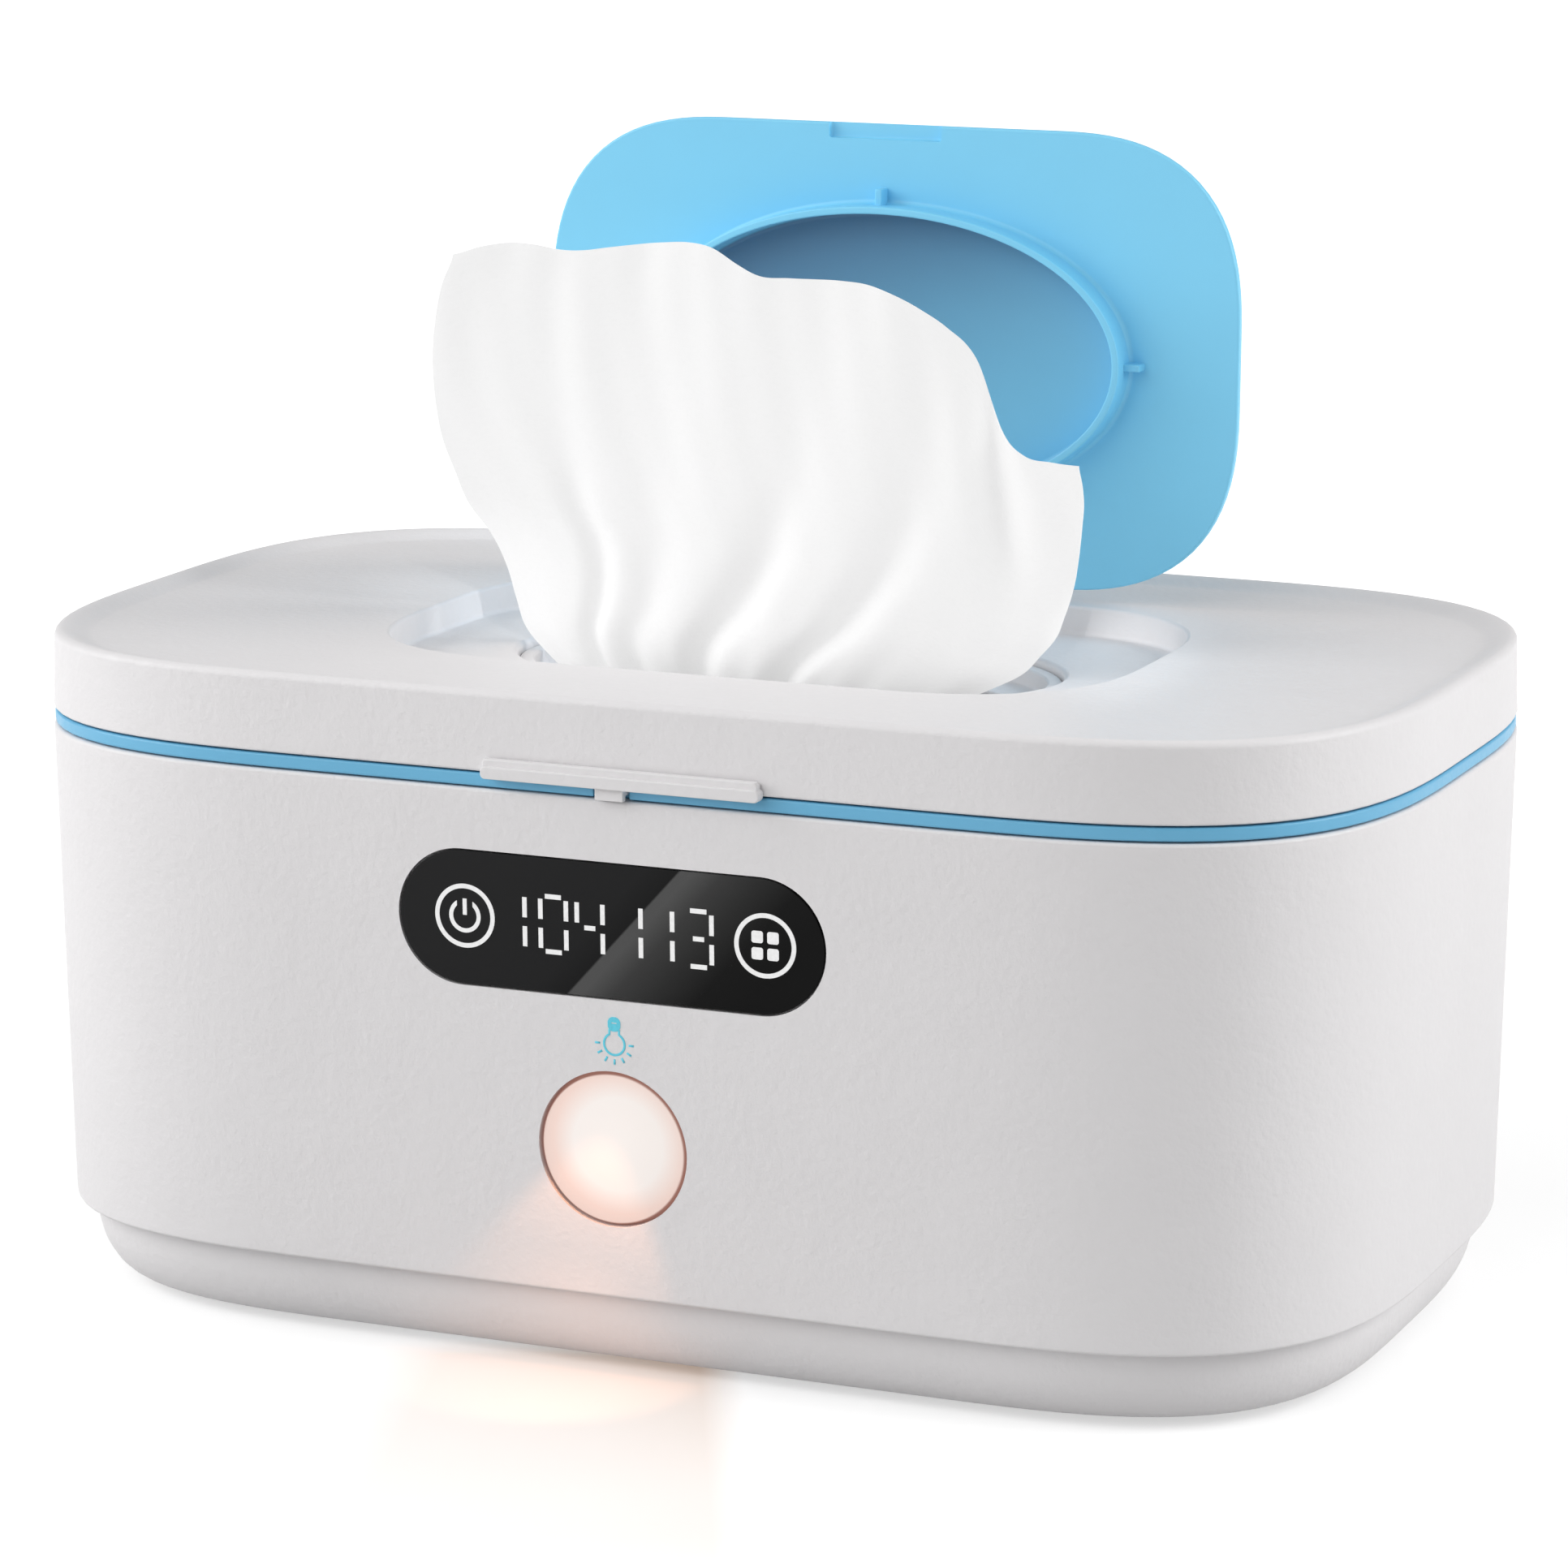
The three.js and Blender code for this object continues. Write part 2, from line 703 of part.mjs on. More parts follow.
/** Trim ring with its spigot inside the housing wall and a notch for the tab. */
function trimRing() {
  const bottom = rimZ + fitGap;
  const spigotZ = rimZ - ringSpigot;
  const ring = loft([
    plan(ringInset, bottom),
    plan(ringInset, ringTopZ - edgeRound),
    plan(ringInset + edgeRound, ringTopZ),
    plan(ringWidth, ringTopZ),
    plan(ringWidth, spigotZ),
    plan(shellWall + wallInset(spigotZ) + fitGap, spigotZ),
    plan(shellWall + fitGap, bottom),
  ], true);
  const notchDepthAll = ringInset + tabRibDepth + fitGap;
  const notchWidth = 2 * (tabHalfWidth + fitGap);
  const notch = block(
    notchWidth, notchDepthAll + overrun, bandHeight + overrun, tabX,
    (notchDepthAll - overrun) / 2 - halfDepth, rimZ + fitGap + (bandHeight + overrun) / 2 - overrun,
  );
  return carve(ring, [], [notch]);
}

/** Tank with a flange on the trim ring and screw bosses under its floor. */
function innerTank() {
  const inner = tankWall;
  const tub = loft([
    tankPlan(tankRound + tankDraft, tankBottomZ),
    tankPlan(tankDraft + tankRound / 4, tankBottomZ + tankRound / 4),
    tankPlan(tankDraft, tankBottomZ + tankRound),
    tankPlan(0, rimZ - ringSpigot),
    tankPlan(0, flangeZ),
    plan(flangeInset, flangeZ),
    plan(flangeInset, flangeTopZ),
    tankPlan(inner, flangeTopZ),
    tankPlan(inner + tankDraft, tankBottomZ + tankRound + tankWall),
    tankPlan(inner + tankDraft + tankRound / 4, tankBottomZ + tankWall + tankRound / 4),
    tankPlan(inner + tankDraft + tankRound, tankBottomZ + tankWall),
  ]);
  const bossBottom = trayZ + trayFloor + fitGap;
  const bossTop = tankBottomZ + tankWall / 2;
  const bosses = corners(screwX, screwY).map(
    ([x, y]) => post(bossRadius, bossBottom, bossTop, pinSides).translate(x, y, 0),
  );
  const bores = corners(screwX, screwY).map(
    ([x, y]) => post(screwRadius + fitGap, bossBottom - overrun, screwTopZ + fitGap, pinSides).translate(x, y, 0),
  );
  return carve(tub, bosses, bores);
}

/** Flat plate with rounded corners, given by half sizes and thickness, bottom at zero. */
function roundPlate(halfX, halfY, corner, thick) {
  const shape = { halfX, halfY, cornerX: corner, cornerY: corner, power: 2 };
  return loft([outline({ ...shape, z: 0 }, innerSteps), outline({ ...shape, z: thick }, innerSteps)]);
}

/** Pan head screw standing on its head, with a cross shaped drive left to the surface finish. */
function screw(headRadius, headHeight, shankRadius, length) {
  return turned([
    [0, -headHeight], [headRadius * crownShare, -headHeight], [headRadius, -headHeight * brimShare], [headRadius, 0],
    [shankRadius, 0], [shankRadius, length - shankRadius], [0, length],
  ], pinSides);
}

/** Control board with its relay, capacitor and plugs. */
function controlBoard() {
  const rest = boardThick - edgeRound;
  const board = block(2 * boardHalfWidth, 2 * boardHalfDepth, boardThick, 0, 0, boardThick / 2);
  const joined = [
    block(relayWidth, relayDepth, relayHeight, -relayX, 0, rest + relayHeight / 2),
    post(capacitorRadius, rest, rest + capacitorHeight, pinSides).translate(capacitorX, 0, 0),
  ];
  for (const place of plugShares) {
    joined.push(block(plugWidth, plugDepth, plugHeight, place * plugPitch, plugRowY, rest + plugHeight / 2));
  }
  return carve(board, joined, []);
}

/** Power inlet with a round nose, a socket bore and its centre pin. */
function powerInlet() {
  const body = block(
    2 * inletHalfWidth, inletLength, 2 * inletHalfWidth, 0, -inletLength / 2, 0,
  );
  const nose = plug(inletRadius, -inletNose, edgeRound);
  const bore = plug(inletBore, -inletNose - overrun, inletLength - inletBack);
  const pin = plug(inletPin, -inletNose + edgeRound, inletLength - edgeRound, pinSides);
  const hollow = carve(body, [nose.rotateZ(Math.PI)], [bore.rotateZ(Math.PI)]);
  return carve(hollow, [pin.rotateZ(Math.PI)], []);
}

/** Display module: board with the raised digit block that shows through the wall. */
function displayModule() {
  const digits = block(
    2 * digitsHalfWidth, moduleDepth - panelThick - 2 * fitGap, 2 * digitsHalfHeight, 0,
    (moduleDepth + panelThick + 2 * fitGap) / 2, 0,
  );
  const board = block(
    2 * moduleHalfWidth, moduleThick, 2 * moduleHalfHeight, 0, moduleDepth + moduleThick / 2, 0,
  );
  return carve(board, [digits.translate(0, edgeRound / 2, 0)], []);
}

/** Domed lens of the light button, open at the back, with the flange that keeps it in. */
function lightLens() {
  const flangeStart = shellWall + fitGap;
  const back = flangeStart + lensFlangeThick;
  const inside = lensRadius - lensWall;
  const profile = [];
  for (let step = 0; step <= crestSteps; step += 1) {
    const share = step / crestSteps;
    profile.push([lensRadius * share, lensDome * (1 - share * share) - edgeRound / 2]);
  }
  profile[0][0] = 0;
  profile.push(
    [lensRadius, -flangeStart], [lensRadius + lensFlange, -flangeStart], [lensRadius + lensFlange, -back],
    [inside, -back], [inside, -lensWall], [0, -lensWall],
  );
  return turned(profile, roundSides * 2).rotateX(Math.PI / 2);
}

/** Lid shell: drafted wall, rolled rim, dish, cap recess with its hinge pocket, knuckles and bosses. */
function lidCover() {
  const crestInset = lidDraft + crestRound;
  const sections = [plan(edgeRound, lidZ), plan(0, lidZ + edgeRound)];
  for (let step = 0; step <= crestSteps; step += 1) {
    const turn = step / crestSteps * Math.PI / 2;
    const inset = lidDraft + crestRound * (1 - Math.cos(turn));
    sections.push(plan(inset, crestZ - crestRound + crestRound * Math.sin(turn)));
  }
  sections.push(
    plan((crestInset + dishInset) / 2, crestZ - dishDrop / 2),
    plan(dishInset, dishZ + dishDrop / 8),
    plan(dishInset + crestRound, dishZ),
    capPlan(capGap + recessRound, dishZ),
    capPlan(capGap + recessRound / 4, dishZ - recessRound / 4),
    capPlan(capGap, dishZ - recessRound),
  );
  for (let step = 0; step <= filletSteps; step += 1) {
    const turn = step / filletSteps * Math.PI / 2;
    sections.push(capPlan(
      capGap - recessFoot * (1 - Math.cos(turn)), recessZ + recessFoot * (1 - Math.sin(turn)),
    ));
  }
  sections.push(
    oval(dispenserX + fitGap + holeRound, dispenserY + fitGap + holeRound, recessZ),
    oval(dispenserX + fitGap + holeRound / 4, dispenserY + fitGap + holeRound / 4, recessZ - holeRound / 4),
    oval(dispenserX + fitGap, dispenserY + fitGap, recessZ - holeRound),
    oval(dispenserX + fitGap, dispenserY + fitGap, recessUnderZ),
    capPlan(capGap + lidWall / 2, recessUnderZ),
    capPlan(capGap + lidWall, dishZ - lidWall),
    plan(dishInset + crestRound, dishZ - lidWall),
    plan(lidWall + crestRound, crestZ - dishDrop - lidWall / 2),
    plan(lidWall, crestZ - dishDrop - lidWall - crestRound / 2),
    plan(lidWall, lidZ),
  );
  const shell = loft(sections, true);
  const pocketHalf = capBarrelHalf + fitGap;
  const pocketBottom = capHingeZ - capBarrelRadius - fitGap;
  const pocketBack = capHingeY + pocketRear;
  const wallTop = dishZ - edgeRound;
  const housingStart = capY + capHalfDepth + capGap - edgeRound;
  const housingDepth = pocketBack + pocketWall - housingStart;
  const housing = block(
    2 * (pocketHalf + capStubLength + pocketWall), housingDepth, wallTop - pocketBottom + pocketWall,
    0, housingStart + housingDepth / 2, (wallTop + pocketBottom - pocketWall) / 2,
  );
  const pocketStart = capY + capHalfDepth - recessRound;
  const pocketDepth = pocketBack - pocketStart;
  const pocket = block(
    2 * pocketHalf, pocketDepth, dishZ + overrun - pocketBottom,
    0, pocketStart + pocketDepth / 2, (dishZ + overrun + pocketBottom) / 2,
  );
  const stubReach = pocketHalf + capStubLength;
  const joined = [housing];
  const removed = [
    pocket,
    barrel(capStubRadius + fitGap, -stubReach, stubReach, capHingeY, capHingeZ, pinSides),
  ];
  for (const side of hingeSides) {
    const centre = side * hingeX;
    const from = centre - hingeLidHalf;
    const to = centre + hingeLidHalf;
    joined.push(barrel(hingeRadius, from, to, hingeY, hingeZ));
    joined.push(leaf(from, to, lidZ, lidZ + hingeRadius));
    removed.push(barrel(hingePin + fitGap, from - overrun, to + overrun, hingeY, hingeZ, pinSides));
  }
  for (const [x, y] of corners(lidScrewX, lidScrewY)) {
    joined.push(post(lidBossRadius, linerTopZ + fitGap, dishZ - lidWall / 2, pinSides).translate(x, y, 0));
    removed.push(post(
      lidScrewRadius + fitGap, linerTopZ, linerZ - fitGap + lidScrewLength + fitGap, pinSides,
    ).translate(x, y, 0));
  }
  return carve(shell, joined, removed);
}

/** Liner plate that closes the lid from below, around the recess bowl. */
function lidLiner() {
  const hole = capGap + lidWall + fitGap;
  const plate = loft([
    plan(linerInset, linerZ),
    plan(linerInset, linerTopZ),
    capPlan(hole, linerTopZ),
    capPlan(hole, linerZ),
  ], true);
  const bores = corners(lidScrewX, lidScrewY).map(
    ([x, y]) => post(lidScrewRadius + fitGap, linerZ - overrun, linerTopZ + overrun, pinSides).translate(x, y, 0),
  );
  const rear = block(
    2 * (capBarrelHalf + capStubLength + pocketWall + 2 * fitGap), pocketRear + pocketWall + 2 * capGap + lidWall,
    2 * linerThick + overrun, 0,
    capHingeY + (pocketRear + pocketWall + 2 * capGap + lidWall) / 2 - lidWall - capGap, linerZ,
  );
  return carve(plate, [], [...bores, rear]);
}

/** Gasket between the tank flange and the liner. */
function lidGasket() {
  const top = gasketZ + gasketHeight;
  return loft([
    plan(gasketInset, gasketZ + gasketHeight / 3),
    plan(gasketInset, top),
    plan(gasketInset + gasketWidth, top),
    plan(gasketInset + gasketWidth, gasketZ + gasketHeight / 3),
    plan(gasketInset + gasketWidth * (1 - gasketTipShare), gasketZ),
    plan(gasketInset + gasketWidth * gasketTipShare, gasketZ),
  ], true);
}

/** Dispenser ring: step, wall round the collar, ledge and slot, with a flange under the lid. */
function dispenserRing() {
  const flangeTop = recessUnderZ - fitGap;
  const flangeBottom = flangeTop - dispenserFlangeHeight;
  return loft([
    oval(dispenserX, dispenserY, flangeTop),
    oval(dispenserX, dispenserY, dispenserTopZ - edgeRound),
    oval(dispenserX - edgeRound, dispenserY - edgeRound, dispenserTopZ),
    oval(stepX + edgeRound, stepY + edgeRound, dispenserTopZ),
    oval(stepX, stepY, dispenserTopZ - edgeRound),
    oval(stepX, stepY, ledgeZ),
    oval(slotHalfWidth, slotHalfDepth, ledgeZ),
    oval(slotHalfWidth, slotHalfDepth, ledgeZ - slotLip),
    oval(stepX + slotLip, stepY + slotLip, ledgeZ - slotLip),
    oval(stepX + slotLip, stepY + slotLip, flangeBottom),
    oval(dispenserX + dispenserFlange, dispenserY + dispenserFlange, flangeBottom),
    oval(dispenserX + dispenserFlange, dispenserY + dispenserFlange, flangeTop),
  ], true);
}

/** Lift bar with its stepped top edge, the tab below it and the rib in the ring's notch. */
function liftBar() {
  const bottom = -barDrop;
  const front = new THREE.Shape();
  const end = barHalfLength - barEndRound;
  front.moveTo(-end, 0);
  front.lineTo(end, 0);
  front.absarc(end, barEndRound, barEndRound, -Math.PI / 2, 0, false);
  front.lineTo(barHalfLength, barReach);
  front.lineTo(-barHalfLength, barReach);
  front.lineTo(-barHalfLength, barEndRound);
  front.absarc(-end, barEndRound, barEndRound, Math.PI, Math.PI * 3 / 2, false);
  const options = { depth: barHeight - barTop, bevelEnabled: false, curveSegments: 5 };
  const lower = new THREE.ExtrudeGeometry(front, options).translate(barX, 0, bottom);
  const upper = block(
    2 * (barHalfLength - barEndRound), barReach - barStep, barTop + edgeRound, barX,
    (barReach + barStep) / 2, bottom + barHeight - (barTop + edgeRound) / 2,
  );
  const tab = block(
    2 * tabHalfWidth, tabThick, tabHeight + edgeRound, tabX, barReach - tabThick / 2,
    bottom + edgeRound - (tabHeight + edgeRound) / 2,
  );
  const ribDepth = tabRibDepth + fitGap;
  const rib = block(
    2 * tabHalfWidth, ribDepth + edgeRound, tabRib, tabX, barReach + (ribDepth - edgeRound) / 2,
    bottom - tabRib / 2,
  );
  return carve(lower, [upper, tab, rib], []);
}

/** Flip cap built shut, about its hinge axis: plate, collar, ribs, finger notch, arms and stubs. */
function flipCap() {
  const centreY = capY - capHingeY;
  const bottom = capBottomZ - capHingeZ;
  const top = bottom + capThick;
  const plate = loft([
    capPlan(-edgeRound, bottom, outerSteps, centreY),
    capPlan(0, bottom + edgeRound, outerSteps, centreY),
    capPlan(0, top - edgeRound, outerSteps, centreY),
    capPlan(-edgeRound * 2, top, outerSteps, centreY),
  ]);
  const tip = bottom - collarDepth;
  const root = bottom + edgeRound;
  const collar = loft([
    oval(collarOuterX + edgeRound, collarOuterY + edgeRound, root, outerSteps, centreY),
    oval(collarOuterX, collarOuterY, bottom - edgeRound, outerSteps, centreY),
    oval(collarOuterX, collarOuterY, tip + edgeRound / 2, outerSteps, centreY),
    oval(collarOuterX - edgeRound / 2, collarOuterY - edgeRound / 2, tip, outerSteps, centreY),
    oval(collarHalfWidth, collarHalfDepth, tip, outerSteps, centreY),
    oval(collarHalfWidth, collarHalfDepth, root, outerSteps, centreY),
  ], true);
  const rib = ribHeight + edgeRound;
  const joined = [collar];
  for (const side of hingeSides) {
    joined.push(block(
      ribLength + collarWall, ribWidth, rib, side * (collarOuterX + (ribLength - collarWall) / 2), centreY,
      root - rib / 2,
    ));
    joined.push(block(
      ribWidth, ribLength + collarWall, rib, 0, centreY + side * (collarOuterY + (ribLength - collarWall) / 2),
      root - rib / 2,
    ));
    const armX = side * (capBarrelHalf - capArmWidth / 2);
    const armFront = -capHingeBehind - edgeRound * 2;
    const armHeight = capThick + bottom - edgeRound;
    joined.push(block(capArmWidth, -armFront, armHeight, armX, armFront / 2, armHeight / 2));
  }
  joined.push(barrel(capBarrelRadius, -capBarrelHalf, capBarrelHalf, 0, 0));
  const stub = capBarrelHalf + capStubLength;
  joined.push(barrel(capStubRadius, -stub, stub, 0, 0, pinSides));
  const frontEdge = centreY - capHalfDepth;
  const notch = block(
    2 * notchHalfWidth, notchDepth + overrun, 2 * notchCut, 0, frontEdge + (notchDepth - overrun) / 2, bottom,
  );
  return carve(plate, joined, [notch]);
}

/** Value of a table of shares at a place from 0 to 1 along it. */
function shareAt(shares, place) {
  const at = place * (shares.length - 1);
  const lower = Math.min(Math.floor(at), shares.length - 2);
  return THREE.MathUtils.lerp(shares[lower], shares[lower + 1], at - lower);
}

/** Wipe drawn up through the slot: gathered at its left below, a fan of folds and an uneven free edge above. */
function wipeSheet() {
  const front = [];
  const back = [];
  for (let row = 0; row <= wipeRows; row += 1) {
    const rise = row / wipeRows;
    const loose = 1 - Math.min(rise / wipeGatherShare, 1);
    const gather = THREE.MathUtils.lerp(1, wipeGatherPower, loose * loose);
    const left = -wipeHalfSpan * shareAt(wipeLeftShares, rise);
    const right = wipeHalfSpan * shareAt(wipeRightShares, rise);
    const depth = THREE.MathUtils.lerp(wipeBaseFold, wipeFoldDepth, rise);
    const bulge = wipeBulge * (rise / wipeBulgeShare) * Math.exp(1 - rise / wipeBulgeShare);
    for (let column = 0; column <= wipeColumns; column += 1) {
      const across = column / wipeColumns;
      const fold = Math.sin(across * wipeFolds * 2 * Math.PI) * (1 - wipeFoldShare * Math.cos(across * Math.PI * 3));
      const point = new THREE.Vector3(
        THREE.MathUtils.lerp(left, right, across ** gather),
        capY + wipeLean * rise * rise + depth * fold - bulge * Math.sin(Math.PI * across),
        wipeBottomZ + wipeHeight * shareAt(wipeTopShares, across) * rise,
      );
      front.push(point);
      back.push(point.clone());
    }
  }
  front.forEach((point) => { point.y -= wipeThick / 2; });
  back.forEach((point) => { point.y += wipeThick / 2; });
  const all = [...front, ...back];
  const width = wipeColumns + 1;
  const offset = front.length;
  const indices = [];
  const quad = (a, b, c, d) => indices.push(a, b, c, a, c, d);
  for (let row = 0; row < wipeRows; row += 1) {
    for (let column = 0; column < wipeColumns; column += 1) {
      const a = row * width + column;
      quad(a, a + 1, a + width + 1, a + width);
      quad(offset + a, offset + a + width, offset + a + width + 1, offset + a + 1);
    }
    const left = row * width;
    const right = left + wipeColumns;
    quad(left, left + width, offset + left + width, offset + left);
    quad(right, offset + right, offset + right + width, right + width);
  }
  const last = wipeRows * width;
  for (let column = 0; column < wipeColumns; column += 1) {
    quad(column, offset + column, offset + column + 1, column + 1);
    quad(last + column, last + column + 1, offset + last + column + 1, offset + last + column);
  }
  return solidGeometry(all.flatMap((point) => [point.x, point.y, point.z]), indices);
}

/** Lead along a smooth curve through a few places. */
function lead(points, radius = leadRadius) {
  const path = new THREE.CatmullRomCurve3(points.map(([x, y, z]) => new THREE.Vector3(x, y, z)));
  const section = new THREE.Shape();
  section.absarc(0, 0, radius, 0, Math.PI * 2, false);
  const steps = Math.round(path.getLength() / (radius * 5));
  return new THREE.ExtrudeGeometry(section, {
    extrudePath: path, steps, bevelEnabled: false, curveSegments: leadSides / 2,
  });
}

// Housing
piece('body_shell', bodyShell(), shellMaterial, assembly);
piece('base_tray', baseTray(), shellMaterial, assembly);
piece('trim_ring', trimRing(), blueMaterial, assembly);
piece('inner_tank', innerTank(), innerMaterial, assembly);
corners(footX, footY).forEach(([x, y], i) => {
  const top = trayZ + footPocket - fitGap;
  const pad = turned([[0, 0], [footRadius - edgeRound, 0], [footRadius, edgeRound], [footRadius, top], [0, top]]);
  piece(`foot_${cornerNames[i]}`, pad, rubberMaterial, assembly, x, y, 0);
});
corners(screwX, screwY).forEach(([x, y], i) => {
  const shape = screw(screwHeadRadius, screwHeadHeight, screwRadius, screwLength);
  piece(`base_screw_${cornerNames[i]}`, shape, steelMaterial, assembly, x, y, screwHeadTopZ);
});

// Heater stack and its sensors under the tank
const heaterPlate = roundPlate(heaterHalfWidth, heaterHalfDepth, heaterCorner, heaterThick);
piece('heater_plate', heaterPlate, aluminiumMaterial, assembly, 0, 0, heaterZ);
const filmShape = roundPlate(
  heaterHalfWidth - padMargin, heaterHalfDepth - padMargin, heaterCorner - padMargin, filmThick,
);
piece('heater_film', filmShape, filmMaterial, assembly, 0, 0, filmZ);
const padShape = carve(roundPlate(heaterHalfWidth, heaterHalfDepth, heaterCorner, padThick), [], [
  post(sensorRadius + fitGap, -overrun, padThick + overrun).translate(-sensorX, 0, 0),
  block(cutoutWidth + 2 * fitGap, cutoutLength + 2 * fitGap, 2 * padThick + overrun, -cutoutX, cutoutY, padThick / 2),
]);
piece('insulation_pad', padShape, feltMaterial, assembly, 0, 0, padZ);
const underFilmZ = filmZ - fitGap;
const sensorShape = post(sensorRadius, -sensorHeight, 0);
piece('temperature_sensor', sensorShape, steelMaterial, assembly, -sensorX, 0, underFilmZ);
const cutoutShape = block(cutoutWidth, cutoutLength, cutoutHeight, 0, 0, -cutoutHeight / 2);
piece('thermal_cutout', cutoutShape, darkMaterial, assembly, -cutoutX, cutoutY, underFilmZ);

// Electronics
piece('control_board', controlBoard(), boardMaterial, assembly, boardX, boardY, boardZ);
piece('power_inlet', powerInlet(), darkMaterial, assembly, inletX, inletStartY, inletZ);

const panelGroup = frontGroup(panelZ, assembly);
const windowShape = stadium(panelHalfLength, panelHalfHeight, 0, panelThick);
piece('display_window', windowShape, darkMaterial, panelGroup);
piece('display_module', displayModule(), boardMaterial, panelGroup);
hingeSides.forEach((side, i) => {
  const pad = plug(keyRadius, panelThick + 2 * fitGap, moduleDepth - fitGap, pinSides);
  const name = i === 0 ? 'touch_pad_power' : 'touch_pad_mode';
  piece(name, pad, siliconeMaterial, panelGroup, side * keyX);
});

const lampGroup = frontGroup(lensZ, assembly);
piece('light_lens', lightLens(), lensMaterial, lampGroup);
const lightBoardShape = block(
  2 * lightBoardHalfWidth, boardThick, 2 * lightBoardHalfHeight, 0, lightBoardDepth + boardThick / 2, 0,
);
piece('light_board', lightBoardShape, boardMaterial, lampGroup);
const ledShape = turned([
  [0, 0], [ledRadius, 0], [ledRadius, ledHeight / 2], [ledRadius * ledTipShare, ledHeight - edgeRound],
  [0, ledHeight],
], pinSides).rotateX(Math.PI / 2);
piece('led', ledShape, lensMaterial, lampGroup, 0, lightBoardDepth - fitGap);
const lensBack = shellWall + fitGap + lensFlangeThick;
const plungerStart = lensBack + buttonTravel + fitGap;
const switchStart = plungerStart + edgeRound * 2;
const switchEnd = lightBoardDepth - fitGap;
const switchBody = block(
  2 * switchHalf, switchEnd - switchStart, 2 * switchHalf, 0, (switchStart + switchEnd) / 2, 0,
);
const switchShape = carve(switchBody, [plug(switchPlunger, plungerStart, switchEnd - edgeRound, pinSides)], []);
piece('light_switch', switchShape, darkMaterial, lampGroup, 0, 0, edgeRound - lensRadius);

// Lid and what it carries
const lidGroup = new THREE.Group();
assembly.add(lidGroup);
piece('lid_cover', lidCover(), shellMaterial, lidGroup);
piece('lid_liner', lidLiner(), innerMaterial, lidGroup);
piece('lid_gasket', lidGasket(), siliconeMaterial, lidGroup);
piece('dispenser_ring', dispenserRing(), shellMaterial, lidGroup);
piece('lift_bar', liftBar(), shellMaterial, lidGroup, 0, -halfDepth - fitGap - barReach, lidZ);
corners(lidScrewX, lidScrewY).forEach(([x, y], i) => {
  const shape = screw(lidScrewHead, lidScrewHeadHeight, lidScrewRadius, lidScrewLength);
  piece(`lid_screw_${cornerNames[i]}`, shape, steelMaterial, lidGroup, x, y, linerZ - fitGap);
});
piece('wipe', wipeSheet(), wipeMaterial, lidGroup);

// Flip cap, turned open about its hinge
const capGroup = new THREE.Group();
capGroup.position.set(0, capHingeY, capHingeZ);
capGroup.rotation.x = -capOpenAngle;
lidGroup.add(capGroup);
piece('flip_cap', flipCap(), blueMaterial, capGroup);

// Hinge pins of the lid
hingeSides.forEach((side, i) => {
  const pinShape = barrel(hingePin, -hingeHalfLength, hingeHalfLength, 0, 0, pinSides);
  piece(`hinge_pin_${sideNames[i]}`, pinShape, steelMaterial, assembly, side * hingeX, hingeY, hingeZ);
});

// Leads between the boards, the inlet and the heater
const leadStartZ = boardZ + boardThick - edgeRound + plugHeight + fitGap + leadRadius;
const plugY = boardY + plugRowY;
const leadDropY = frontY(lensZ) + lightBoardDepth + boardThick + fitGap;
piece('light_lead', lead([
  [plugShares[1] * plugPitch, leadDropY + 2 * fitGap + leadRadius, lensZ - lightBoardHalfHeight / 2],
  [plugShares[1] * plugPitch, leadDropY + 3 * leadRadius, wallZ],
  [plugShares[1] * plugPitch, plugY - 4 * plugDepth, leadStartZ + leadRadius],
  [plugShares[1] * plugPitch, plugY, leadStartZ],
]), leadMaterial, assembly);
piece('display_lead', lead([
  [keyX, frontY(panelZ) + moduleDepth + moduleThick + fitGap + leadRadius, panelZ - moduleHalfHeight / 2],
  [keyX + 2 * plugWidth, leadDropY + 2 * leadRadius, wallZ],
  [plugShares[2] * plugPitch, plugY - 4 * plugDepth, leadStartZ + leadRadius],
  [plugShares[2] * plugPitch, plugY, leadStartZ],
]), leadMaterial, assembly);
piece('heater_lead', lead([
  [-sensorX, 0, underFilmZ - sensorHeight - fitGap],
  [-sensorX, 0, padZ - leadRadius],
  [-sensorX + sensorRadius, -sensorRadius, leadStartZ + leadRadius],
  [plugShares[0] * plugPitch - plugWidth, plugY - plugDepth, leadStartZ + leadRadius],
  [plugShares[0] * plugPitch, plugY, leadStartZ],
]), leadMaterial, assembly);
piece('power_lead', lead([
  [inletX, inletStartY - inletLength - fitGap - leadRadius, inletZ - inletHalfWidth / 2],
  [screwX - bossRadius - 2 * plugDepth, heaterHalfDepth + 4 * leadRadius, leadStartZ + leadRadius],
  [boardX + boardHalfWidth + 2 * plugDepth, plugY + 2 * plugDepth, leadStartZ],
  [plugShares[3] * plugPitch, plugY, leadStartZ],
]), leadMaterial, assembly);

export default warmer;
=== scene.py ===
"""Looks of a baby wipe warmer, in metres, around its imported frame.

The heated tub stands on rubber feet. Its hinged lid carries a stepped dispensing opening, a flip cap that stands
open and a wipe drawn up through the slot. Display, light button and bulb mark are on the front.
"""

import logging
import math
from contextlib import contextmanager
from dataclasses import dataclass, replace
from enum import Enum
from functools import cached_property, partial
from typing import Callable, Iterator, Mapping, Sequence

import bmesh
import bpy
from mathutils import Matrix, Vector


